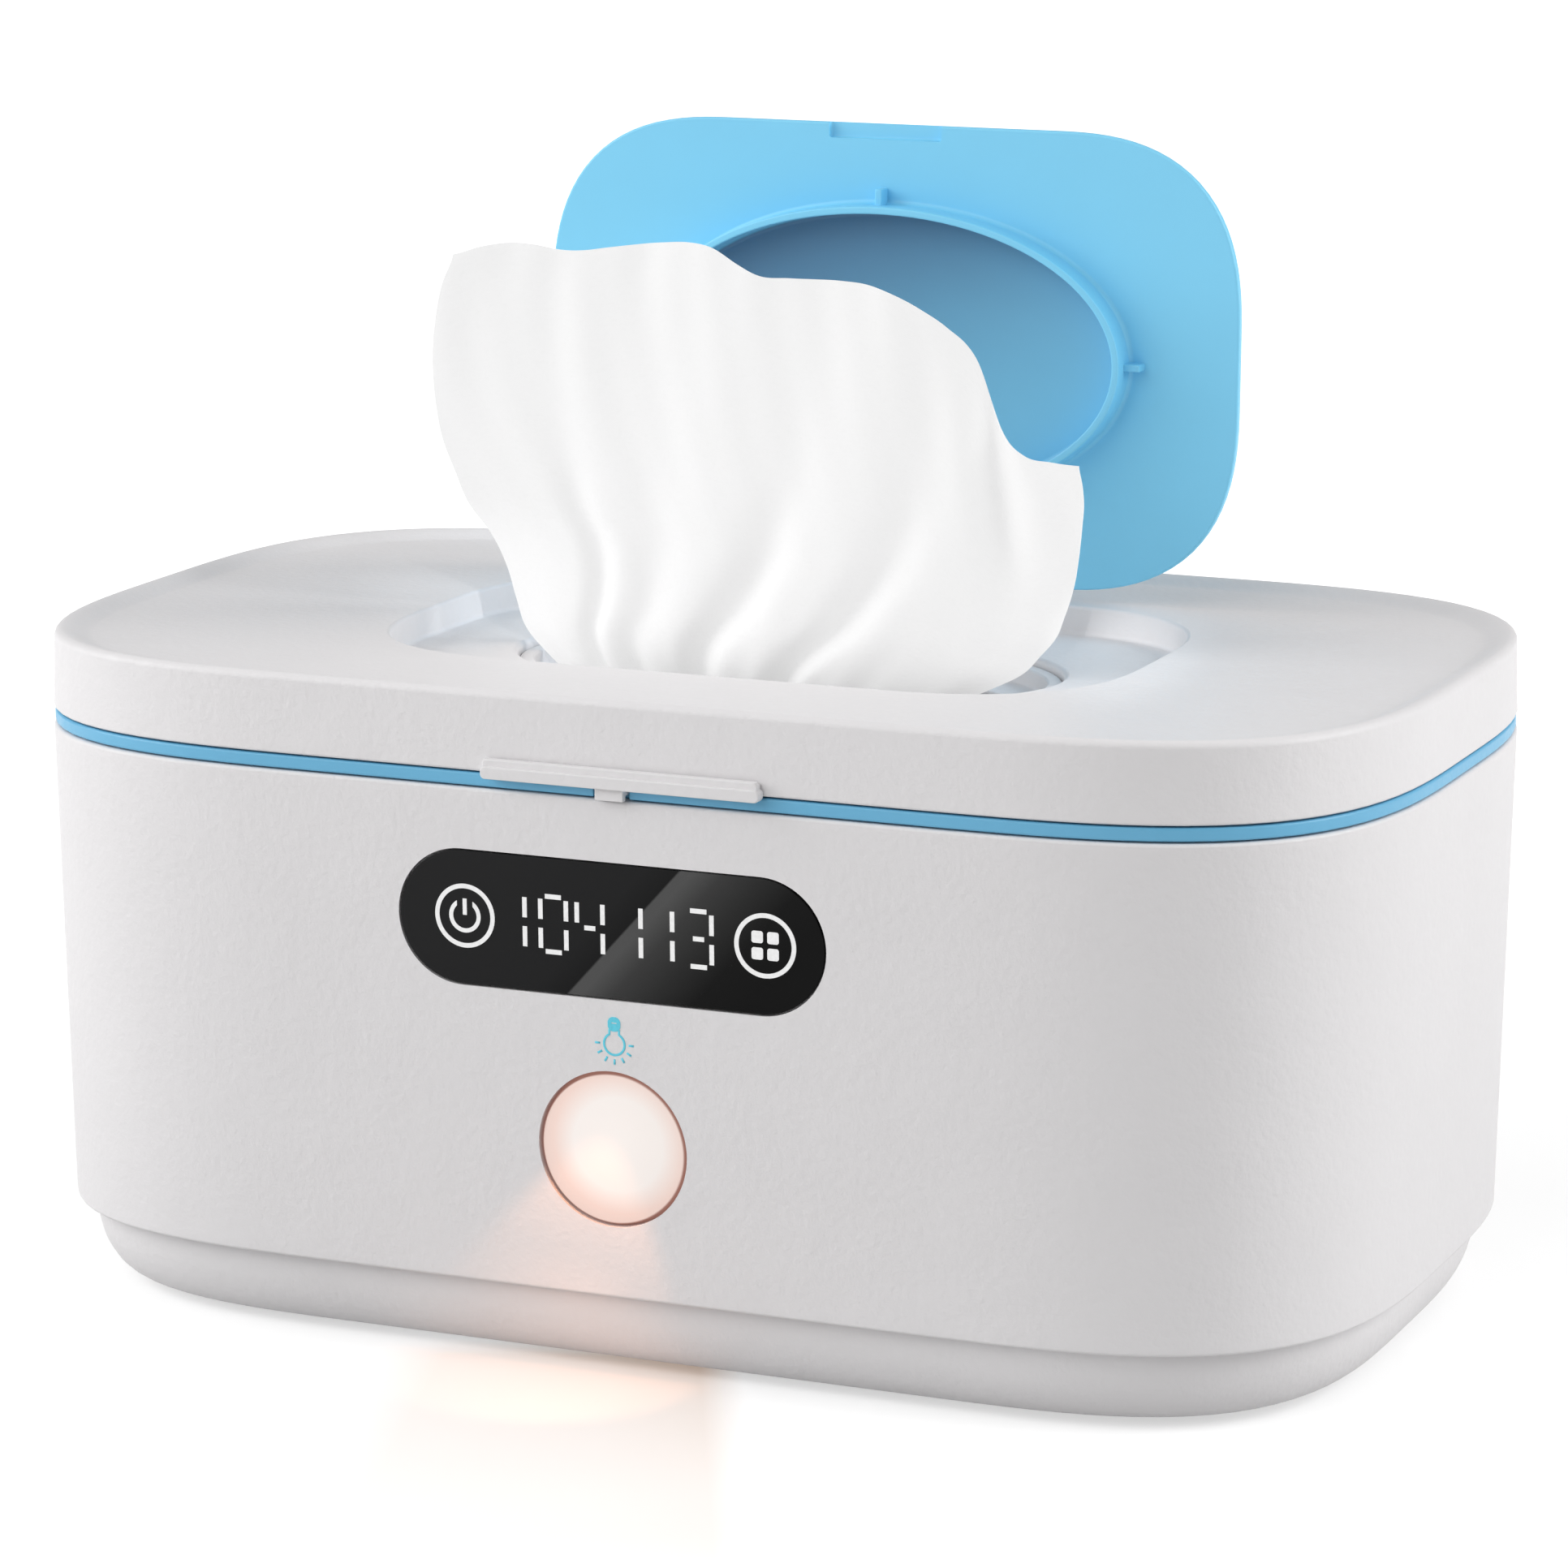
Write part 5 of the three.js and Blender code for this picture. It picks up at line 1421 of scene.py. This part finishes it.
@dataclass
class FlipCap:
    """Flip cap, shaped shut about its hinge and then turned open."""

    recess: Recess
    thick: float = 0.002
    inner_edge: float = 0.0004
    outer_edge: float = 0.0008
    collar_depth: float = 0.0058
    fillet: float = 0.0009
    lip: float = 0.0003
    overlap: float = 0.001
    sunk: float = 0.0005
    rib_length: float = 0.0028
    rib_width: float = 0.0012
    rib_height: float = 0.003
    rib_soft: float = 0.0002
    notch_half: float = 0.0105
    notch_depth: float = 0.0027
    notch_cut: float = 0.0012
    notch_x: float = -0.0008
    arm_width: float = 0.005
    barrel_half: float = 0.015
    barrel_radius: float = 0.0018
    stub_length: float = 0.0024
    stub_radius: float = 0.0011

    def build(self) -> None:
        """Makes the cap in one piece: plate, collar, ribs, arms, barrel and finger notch."""
        cap, low, high, overlap, sunk = self.recess, self.inner_edge, self.outer_edge, self.overlap, self.sunk
        middle, bottom = cap.centre_y - cap.hinge_y, cap.bottom_z - cap.hinge_z
        top, plate = bottom + self.thick, partial(cap.loop, centre_y=middle)
        piece = loft([
            *quarter(plate, (-low, bottom), (0.0, bottom + low), 4),
            *quarter(plate, (0.0, top - high), (-high, top), 6, upright=True),
        ])
        join(piece, self.collar(middle, bottom))
        long, tall, half = self.rib_length + overlap, self.rib_height + sunk, self.barrel_half
        rib_x, rib_y = (size + cap.collar_wall + long / 2 - overlap for size in (cap.collar_x, cap.collar_y))
        rib_z, reach, height = bottom + sunk - tall / 2, overlap - middle - cap.half_depth, top - 0.0005
        for side in SIDES:
            above = (self.notch_x, middle + side * rib_y, rib_z)
            join(
                piece, block((long, self.rib_width, tall), (side * rib_x, middle, rib_z), self.rib_soft),
                block((self.rib_width, long, tall), above, self.rib_soft),
                block((self.arm_width, reach, height), (side * (half - self.arm_width / 2), -reach / 2, height / 2)),
            )
        for radius, end, points in ((self.barrel_radius, half, 40), (self.stub_radius, half + self.stub_length, 32)):
            join(piece, rod(radius, (-end, 0.0, 0.0), (end, 0.0, 0.0), points))
        deep = self.notch_depth + overlap
        place = (self.notch_x, middle - cap.half_depth + deep / 2 - overlap, bottom)
        cut(piece, block((2 * self.notch_half, deep, 2 * self.notch_cut), place, 0.0005))
        turn = Matrix.Rotation(-math.radians(cap.open_angle), 4, "X")
        settle(piece, Matrix.Translation((0.0, cap.hinge_y + SHIFT_Y, cap.hinge_z)) @ turn)
        publish(piece, "flip_cap_plate", Body.CAP, Look.CAP, "flip_cap")

    def collar(self, middle: float, bottom: float) -> Thing:
        """Oval collar with a rounded lip and a fillet at its root.

        Args:
            middle: Y of the collar's middle.
            bottom: Level of the plate's inner face.

        Returns:
            The collar.
        """
        oval, root, tip = partial(self.recess.oval, centre_y=middle), bottom + self.sunk, bottom - self.collar_depth
        wall, fillet, lip = self.recess.collar_wall, self.fillet, self.lip
        return loft([
            oval(wall + fillet, root),
            *quarter(oval, (wall + fillet, bottom), (wall, bottom - fillet), 5),
            *quarter(oval, (wall, tip + lip), (wall - lip, tip), 3, upright=True),
            *quarter(oval, (lip, tip), (0.0, tip + lip), 3),
            *quarter(oval, (0.0, bottom - fillet), (-fillet, bottom), 5, upright=True),
            oval(-fillet, root),
        ], ring=True)


@dataclass
class Display:
    """Display window with its lit readings and touch marks."""

    housing: Housing
    height: float = 0.0757
    half_length: float = 0.0371
    half_height: float = 0.01105
    keys: Pair = (-0.0255, 0.027)
    line_y: float = 0.00025
    stroke: float = 0.00078
    digit_width: float = 0.0045
    digit_height: float = 0.0091
    bar_middle: float = 0.0024
    bar_length: float = 0.0036
    bar_height: float = 0.0041
    proud: float = 0.00004
    tile: float = 0.00098
    tile_place: float = 0.00135

    def window(self) -> None:
        """Pill shaped window, flush with the wall."""
        plate = stadium(self.half_length, self.half_height, -0.001, 0.0, 0.00015)
        settle(plate, self.housing.front_matrix(self.height))
        publish(plate, "display_glass", Body.HOUSING, Look.WINDOW, "display_window")

    def segment(self, centre: Pair, upright: bool, length: float) -> Thing:
        """One bar of a reading, pointed at both ends.

        Args:
            centre: Its middle in the window's plane.
            upright: Whether it stands upright.
            length: Its full length.

        Returns:
            The bar.
        """
        half, wide = length / 2, self.stroke / 2
        bar = block((2 * (half - wide), 2 * wide, 2 * self.proud))
        with editing(bar):
            for side in SIDES:
                pick(bar, "faces", lambda face: face.normal.x * side > 0.9)
                bpy.ops.mesh.extrude_region_move(TRANSFORM_OT_translate={"value": (side * wide * 0.8, 0.0, 0.0)})
                end = (side * (half - wide * 0.2), 0.0, 0.0)
                bpy.ops.transform.resize(value=(1.0, 0.35, 1.0), center_override=end)
        turn = Matrix.Rotation(math.pi / 2 if upright else 0.0, 4, "Z")
        return settle(bar, Matrix.Translation((*centre, 0.0)) @ turn)

    def digit(self, bars: str, x: float) -> list[Thing]:
        """Bars of one digit.

        Args:
            bars: Letters of the lit bars, from a at the top round to g in the middle.
            x: Place of its right edge.

        Returns:
            The bars.
        """
        wide, half = self.digit_width, self.digit_height / 2
        middle, length, tall, y = self.bar_middle, self.bar_length, self.bar_height, self.line_y
        places = {
            "a": ((x - wide / 2, y + half), False, length), "b": ((x, y + middle), True, tall),
            "c": ((x, y - middle), True, tall), "d": ((x - wide / 2, y - half), False, length),
            "e": ((x - wide, y - middle), True, tall), "f": ((x - wide, y + middle), True, tall),
            "g": ((x - wide / 2, y), False, length * 0.75),
        }
        return [self.segment(*places[bar]) for bar in bars]

    def readings(self) -> None:
        """Two readings of three digits each."""
        digits = {"0": "abcdef", "1": "bc", "3": "abcdg", "4": "bcfg"}
        places = (-0.01485, -0.00755, -0.00113, 0.00552, 0.011, 0.0178)
        self.lay([bar for sign, x in zip("104113", places) for bar in self.digit(digits[sign], x)], "lit_readings")

    def hoop(self, outer: float, inner: float) -> Thing:
        """Thin flat ring."""
        low, high = -self.proud, self.proud
        return loft(discs((outer, low), (outer, high), (inner, high), (inner, low)), ring=True)

    def key(self, x: float, parts: Sequence[Thing], name: str) -> None:
        """Puts the parts of a touch mark in their ring.

        Args:
            x: Middle of the mark.
            parts: What is in the ring, about the origin.
            name: Name of the piece.
        """
        place = Matrix.Translation((x, self.line_y, 0.0))
        self.lay([settle(part, place) for part in (self.hoop(0.0053, 0.00455), *parts)], name)

    def power_mark(self) -> None:
        """On and off mark: an open arc with a stroke."""
        open_arc = cut(self.hoop(0.0028, 0.0021), block((0.0028, 0.004, 0.002), (0.0, 0.0027, 0.0)))
        self.key(self.keys[0], [open_arc, block((0.0007, 0.0027, 2 * self.proud), (0.0, 0.0015, 0.0))], "power_mark")

    def mode_mark(self) -> None:
        """Mode mark: four small rounded tiles set well apart."""
        half, away, tiles = self.tile, self.tile_place, []
        for x, y in ((-away, -away), (-away, away), (away, -away), (away, away)):
            tile = loft([Loop(half, half, level, corner=0.0004) for level in (-self.proud, self.proud)])
            tiles.append(settle(tile, Matrix.Translation((x, y, 0.0))))
        self.key(self.keys[1], tiles, "mode_mark")

    def lay(self, parts: Sequence[Thing], name: str) -> None:
        """Joins flat marks and lays them on the window.

        Args:
            parts: The marks in the window's plane.
            name: Name of the joined piece.
        """
        lift = Matrix.Translation((0.0, 0.0, self.proud))
        piece = settle(merge(parts), self.housing.front_matrix(self.height) @ lift)
        publish(piece, name, Body.HOUSING, Look.READOUT, angle=None)

    def build(self) -> None:
        """Makes the window and its marks."""
        for step in (self.window, self.readings, self.power_mark, self.mode_mark):
            step()


@dataclass
class LightButton:
    """Domed lens of the light button and the bulb mark above it."""

    housing: Housing
    height: float = 0.0395
    radius: float = 0.0126
    dome: float = 0.0011
    edge: float = 0.0005
    rim: float = -0.00025
    thick: float = 0.0013
    flange: float = 0.0015
    flange_top: float = -0.0028
    back: float = -0.0039
    bulb_z: float = 0.05715
    bulb_radius: float = 0.0018
    neck: float = 0.0024
    stroke: float = 0.0004
    lift: float = 0.00003

    def lens(self) -> None:
        """Frosted lens with a soft rim, open at the back, and its keeping flange."""
        radius, edge, rim = self.radius, self.edge, self.rim
        inner, outer = radius - self.thick, radius + self.flange
        rows = [(0.0004, -self.thick), (inner, -self.thick), (inner, self.back), (outer, self.back),
                (outer, self.flange_top), (radius, self.flange_top)]
        shares = [1 - step / 10 * 0.97 for step in range(1, 11)]
        dome = discs(*(((radius - edge) * share, rim + self.dome * (1 - share * share)) for share in shares))
        soft = quarter(disc, (radius, rim - edge), (radius - edge, rim), 4, upright=True)
        piece = settle(loft([*discs(*rows), *soft, *dome]), self.housing.front_matrix(self.height))
        publish(piece, "button_lens", Body.BUTTON, Look.LENS, "light_lens", angle=40)

    def bulb_mark(self) -> None:
        """Printed bulb with seven rays, cap upwards."""
        neck, lift = self.neck, self.lift

        def away(radius: float, degrees: float) -> Pair:
            """Place at a distance and an angle from the bulb's middle."""
            turn = math.radians(degrees)
            return (radius * math.cos(turn), radius * math.sin(turn))

        outline = [away(self.bulb_radius, 118 + 304 * step / 24) for step in range(25)]
        cap = loft([Loop(0.0011, 0.0012, level, 0.00095, centre_y=neck + 0.0009) for level in (-lift, lift)])
        cut(cap, block((0.0009, 0.0002, 0.0004), (0.0, neck + 0.0011, 0.0)))
        parts = [self.line([(-0.00085, neck), *outline, (0.00085, neck)], self.stroke), cap]
        for turn in range(180, 361, 30):
            parts.append(self.line([away(0.0025, turn), away(0.0034, turn)], self.stroke * 0.9))
        place = self.housing.front_matrix(self.bulb_z) @ Matrix.Translation((0.0006, 0.0, lift))
        publish(settle(merge(parts), place), "bulb_mark", Body.HOUSING, Look.MARK, angle=None)

    @staticmethod
    def line(points: Sequence[Pair], width: float) -> Thing:
        """Flat stroke along points, made from a curve.

        Args:
            points: Places in the plane of the wall.
            width: Width of the stroke.

        Returns:
            The stroke as a mesh.
        """
        bpy.ops.curve.primitive_nurbs_path_add()
        curve = bpy.context.object.data
        curve.splines.clear()
        spline = curve.splines.new("POLY")
        spline.points.add(len(points) - 1)
        for point, (x, y) in zip(spline.points, points):
            point.co = (x, y, 0.0, 1.0)
        curve.bevel_depth, curve.bevel_resolution, curve.use_fill_caps = width / 2, 2, True
        choose(bpy.context.object)
        bpy.ops.object.convert(target="MESH")
        line = bpy.context.object
        with editing(line):
            bpy.ops.mesh.select_all(action="SELECT")
            bpy.ops.mesh.remove_doubles(threshold=0.00001)
        line.scale = (1.0, 1.0, 0.12)
        return settle(line)

    def build(self) -> None:
        """Makes the lens and the mark."""
        self.lens()
        self.bulb_mark()


@dataclass(frozen=True)
class Fold:
    """Valley that runs up the wipe, with its places across and its depths from the slot to the free edge."""

    path: tuple[float, ...]
    depths: tuple[float, ...]
    width_low: float
    width_high: float


@dataclass
class Wipe:
    """Wipe drawn up through the slot: gathered below, fanned out above."""

    bottom: float = 0.098
    height: float = 0.0785
    span: float = 0.066
    front: float = 0.0012
    thick: float = 0.00045
    columns: int = 260
    rows: int = 150
    bulge: float = 0.0085
    bulge_rise: float = 0.2
    lean: float = 0.0025
    curl: float = 0.002
    gathers: float = 0.0004
    ripple: float = 0.00022
    left: tuple[float, ...] = (
        0.565, 0.655, 0.735, 0.765, 0.79, 0.832, 0.9, 0.938, 0.973, 0.991, 1.0, 1.0, 0.991, 0.974, 0.942,
    )
    right: tuple[float, ...] = (
        0.379, 0.447, 0.553, 0.645, 0.692, 0.733, 0.752, 0.768, 0.779, 0.785, 0.789, 0.792, 0.794, 0.788, 0.776,
    )
    top: tuple[float, ...] = (
        0.953, 0.971, 0.981, 0.98, 0.97, 0.972, 0.981, 0.989, 0.996, 1.0, 0.992, 0.96, 0.936,
        0.935, 0.935, 0.935, 0.93, 0.913, 0.884, 0.847, 0.787, 0.635, 0.584, 0.574, 0.57,
    )
    folds: tuple[Fold, ...] = (
        Fold((0.11, 0.177, 0.198, 0.182, 0.155), (0.0016, 0.0022, 0.0014, 0.0007, 0.0005), 0.02, 0.045),
        Fold((0.21, 0.285, 0.333, 0.337, 0.31), (0.0014, 0.0016, 0.0014, 0.0016, 0.0018), 0.03, 0.09),
        Fold((0.36, 0.462, 0.553, 0.582, 0.598), (0.0026, 0.0036, 0.0016, 0.001, 0.001), 0.038, 0.06),
        Fold((0.58, 0.676, 0.75, 0.775, 0.79), (0.003, 0.0034, 0.0018, 0.001, 0.0006), 0.036, 0.05),
        Fold((0.96, 0.93, 0.91, 0.878, 0.85), (0.0, 0.0002, 0.001, 0.0026, 0.002), 0.03, 0.035),
    )

    @staticmethod
    def along(table: Sequence[float], place: float) -> float:
        """Value at a place from 0 to 1 on a smooth curve through a table.

        Args:
            table: Values at equal steps.
            place: Where to read it.

        Returns:
            The value.
        """
        last = len(table) - 1
        at = min(max(place, 0.0), 1.0) * last
        lower = min(int(at), last - 1)
        share = at - lower
        before, start, end, after = (table[min(max(lower + step, 0), last)] for step in (-1, 0, 1, 2))
        slope_in, slope_out = (end - before) / 2, (after - start) / 2
        square, cube = share * share, share ** 3
        return (
            start * (2 * cube - 3 * square + 1) + slope_in * (cube - 2 * square + share)
            + end * (3 * square - 2 * cube) + slope_out * (cube - square)
        )

    def depth(self, across: float, rise: float) -> float:
        """How far the cloth lies behind its middle sheet.

        Args:
            across: From 0 at its left edge to 1 at its right edge.
            rise: From 0 in the slot to 1 at its free edge.

        Returns:
            The depth of folds, gathers, bulge and curled edge together.
        """
        total = self.lean * rise * rise
        for fold in self.folds:
            width = fold.width_low + (fold.width_high - fold.width_low) * rise
            away = (across - self.along(fold.path, rise)) / width
            total += self.along(fold.depths, rise) * math.exp(-away * away)
        swell = (rise / self.bulge_rise) * math.exp(1 - rise / self.bulge_rise)
        total -= self.bulge * swell * math.sin(math.pi * across) * (0.3 + 0.9 * across)
        total -= self.curl * rise * math.exp(-((across / 0.07) ** 2))
        total += self.gathers * math.exp(-rise / 0.12) * math.sin(across * 66)
        return total + self.ripple * rise * math.sin(across * 71 + 5 * rise) * math.sin(rise * 9 + across * 17)

    def point(self, across: float, rise: float) -> Point:
        """Place of the cloth in the frame.

        Args:
            across: From 0 at its left edge to 1 at its right edge.
            rise: From 0 in the slot to 1 at its free edge.

        Returns:
            X, Y and Z.
        """
        left, right = -self.span * self.along(self.left, rise), self.span * self.along(self.right, rise)
        z = self.bottom + self.height * self.along(self.top, across) * rise
        return (left + (right - left) * across, self.front + SHIFT_Y + self.depth(across, rise), z)

    def build(self) -> None:
        """Makes the cloth from a grid, with its thickness, and names and dresses it."""
        bpy.ops.mesh.primitive_grid_add(x_subdivisions=self.columns, y_subdivisions=self.rows, size=1.0)
        piece = bpy.context.object
        for vert in piece.data.vertices:
            vert.co = self.point(vert.co.x + 0.5, vert.co.y + 0.5)
        modify(piece, "SOLIDIFY", thickness=self.thick, offset=0.0)
        with editing(piece):
            bpy.ops.mesh.select_all(action="SELECT")
            bpy.ops.mesh.normals_make_consistent(inside=False)
        publish(piece, "drawn_wipe", Body.LID, Look.CLOTH, "wipe", angle=60)
        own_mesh(piece)


@dataclass
class InnerParts:
    """Parts inside the housing that keep their shape from the frame."""

    looks: tuple[tuple[Look, str], ...] = (
        (Look.ALUMINIUM, "heater_plate"), (Look.FILM, "heater_film"), (Look.FELT, "insulation_pad"),
        (Look.STEEL, "temperature_sensor hinge_pin_left hinge_pin_right"), (Look.BLACK, "thermal_cutout light_switch"),
        (Look.BOARD, "control_board display_module light_board"), (Look.SILICONE, "touch_pad_power touch_pad_mode"),
        (Look.LENS, "led"), (Look.SLEEVE, "light_lead display_lead heater_lead power_lead"),
    )

    def build(self) -> None:
        """Gives each of them its finish."""
        for look, names in self.looks:
            for name in names.split():
                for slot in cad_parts[name].material_slots:
                    slot.material = look.material
                LOG.info("%s keeps its shape from the frame", name)


def stand(name: str, data: bpy.types.ID, place: Sequence[float], turn: Sequence[float]) -> Thing:
    """Adds a lamp or the camera to the scene. The camera doesn't see the lamps.

    Args:
        name: Name of the object.
        data: Its lamp or camera.
        place: Where it stands.
        turn: Its rotation.

    Returns:
        The object.
    """
    item = bpy.data.objects.new(name, data)
    bpy.context.collection.objects.link(item)
    item.location, item.rotation_euler = place, turn
    item.visible_camera = not isinstance(data, bpy.types.Light)
    return item


@dataclass(frozen=True)
class Softbox:
    """Soft square lamp that points at the object from some way round it."""

    name: str
    azimuth: float
    elevation: float
    power: float
    size: float = 1.2
    distance: float = 1.8
    target: Point = (0.0, 0.0, 0.08)

    def build(self) -> None:
        """Adds the lamp. Azimuth 0 is in front, and 90 is at the right."""
        data = bpy.data.lights.new(self.name, "AREA")
        data.size, data.energy = self.size, self.power
        turn, rise = math.radians(self.azimuth), math.radians(self.elevation)
        away = Vector((math.sin(turn) * math.cos(rise), -math.cos(turn) * math.cos(rise), math.sin(rise)))
        stand(self.name, data, Vector(self.target) + away * self.distance, away.to_track_quat("Z", "Y").to_euler())


@dataclass(frozen=True)
class Beam:
    """Narrow lamp with a soft edge, from one place towards another."""

    name: str
    place: Point
    target: Point
    angle: float
    power: float
    colour: Colour = WHITE
    blend: float = 1.0

    def build(self) -> None:
        """Adds the lamp."""
        data = bpy.data.lights.new(self.name, "SPOT")
        data.energy, data.color, data.shadow_soft_size = self.power, self.colour, 0.002
        data.spot_size, data.spot_blend = math.radians(self.angle), self.blend
        turn = (Vector(self.target) - Vector(self.place)).to_track_quat("-Z", "Y").to_euler()
        stand(self.name, data, self.place, turn)


@dataclass
class Studio:
    """Floor, white surroundings, lamps and camera."""

    eye: Point = (0.3705, -0.8812, 0.2917)
    pitch: float = 12.199
    yaw: float = 22.856
    lens: float = 131.69
    sky: float = 0.34
    floor_grey: float = 0.58
    floor_glow: float = 0.56
    floor_fade: Pair = (0.22, 0.8)
    pool_place: Point = (-0.0135, -0.0625, 0.0)
    pool_size: Point = (0.0255, 0.08, 1.0)
    pool_spread: float = 0.3
    pool_turn: float = 20.3
    pool_colour: Colour = (0.66, 0.5, 0.4)
    pool_sides: tuple[Pair, ...] = ((0.02, 0.0), (0.2, 0.6), (0.6, 0.8), (0.83, 1.0), (0.93, 0.0))
    pool_ends: tuple[Pair, ...] = ((0.0, 0.0), (0.06, 1.0), (0.35, 0.85), (0.7, 0.6), (1.0, 0.0))
    lamps: tuple[Softbox | Beam, ...] = (
        Softbox("left softbox", -66.0, 24.0, 18.0),
        Softbox("front softbox", -20.0, 34.0, 8.0),
        Softbox("right softbox", 102.0, 28.0, 22.0),
        Beam("glow on the wall", (0.002, -0.084, 0.052), (-0.248, 0.126, -0.948), 56.0, 0.026, (1.0, 0.42, 0.2), 0.3),
        Beam("glow on the tray", (0.0, -0.1, 0.026), (-0.16, 0.3, -0.4), 80.0, 0.009, (1.0, 0.42, 0.2)),
        Beam("beam on the recess's right end", (0.304, -0.908, 0.382), (0.055, 0.02, 0.106), 1.8, 17.0),
        Beam("beam on the recess's left end", (0.54, -0.7, 0.44), (-0.064, 0.005, 0.107), 2.4, 9.0),
    )

    def floor(self) -> None:
        """Large pale floor that looks white to the camera and keeps the shadow."""
        bpy.ops.mesh.primitive_plane_add(size=12.0, location=ORIGIN)
        plane = bpy.context.object
        plane.name = "studio_floor"
        material = bpy.data.materials.new("studio floor")
        book = NodeBook(material)
        fade = book.span(book.vector("LENGTH", book.place), self.floor_fade, (self.floor_glow, 1.0))
        path = book.add("ShaderNodeLightPath").outputs
        seen = book.math("MAXIMUM", path["Is Camera Ray"], path["Is Glossy Ray"])
        book.finish({
            "Base Color": grey(self.floor_grey), "Roughness": 0.9, "Specular IOR Level": 0.1,
            "Emission Color": self.pool(book), "Emission Strength": book.math("MULTIPLY", fade, seen),
        })
        plane.data.materials.append(material)

    def pool(self, book: NodeBook) -> Socket:
        """Warm patch that the lit button throws on the floor, as a cone that opens forward.

        Args:
            book: Nodes of the floor's material.

        Returns:
            The floor's colour, white outside the patch.
        """
        patch = {
            "Vector": book.place, "Location": self.pool_place, "Scale": self.pool_size,
            "Rotation": (0.0, 0.0, math.radians(self.pool_turn)),
        }
        x, y, _ = book.split(book.add("ShaderNodeMapping", patch, vector_type="TEXTURE").outputs["Vector"])
        across = book.math("DIVIDE", x, book.math("MULTIPLY_ADD", y, -self.pool_spread, 1.0))
        masks = (
            book.ramp(book.span(value, span), [(place, grey(level)) for place, level in stops])
            for value, span, stops in ((across, (-1.3, 1.3), self.pool_sides), (y, (0.1, -1.6), self.pool_ends))
        )
        return book.ramp(book.math("MULTIPLY", *masks), [(0.0, WHITE), (1.0, self.pool_colour)])

    def world(self) -> None:
        """Even grey light, white to the camera and through clear parts."""
        world = bpy.data.worlds.new("studio")
        bpy.context.scene.world = world
        book = NodeBook(world)
        path = book.add("ShaderNodeLightPath").outputs
        seen = book.math("MAXIMUM", path["Is Camera Ray"], path["Is Transmission Ray"])
        book.finish({"Color": WHITE, "Strength": book.span(seen, (0.0, 1.0), (self.sky, 1.0))})

    def camera(self) -> None:
        """Camera at the photograph's place and angle."""
        data = bpy.data.cameras.new("camera")
        data.lens, data.sensor_width = self.lens, 36.0
        turn = (math.radians(90 - self.pitch), 0.0, math.radians(self.yaw))
        bpy.context.scene.camera = stand("camera", data, self.eye, turn)

    def build(self) -> None:
        """Sets up the studio."""
        bpy.context.scene.view_settings.view_transform = "Standard"
        for step in (self.camera, self.floor, self.world, *(lamp.build for lamp in self.lamps)):
            step()


def main() -> None:
    """Builds the warmer piece by piece and reports each one."""
    logging.basicConfig(level=logging.INFO, format="%(name)s: %(message)s")
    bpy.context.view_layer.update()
    housing, recess = Housing(), Recess()
    Studio().build()
    shell = Shell(housing)
    shell.build()
    Lid(housing, recess, shell).build()
    FlipCap(recess).build()
    Display(housing).build()
    LightButton(housing).build()
    Wipe().build()
    InnerParts().build()


if __name__ == "__main__":
    main()
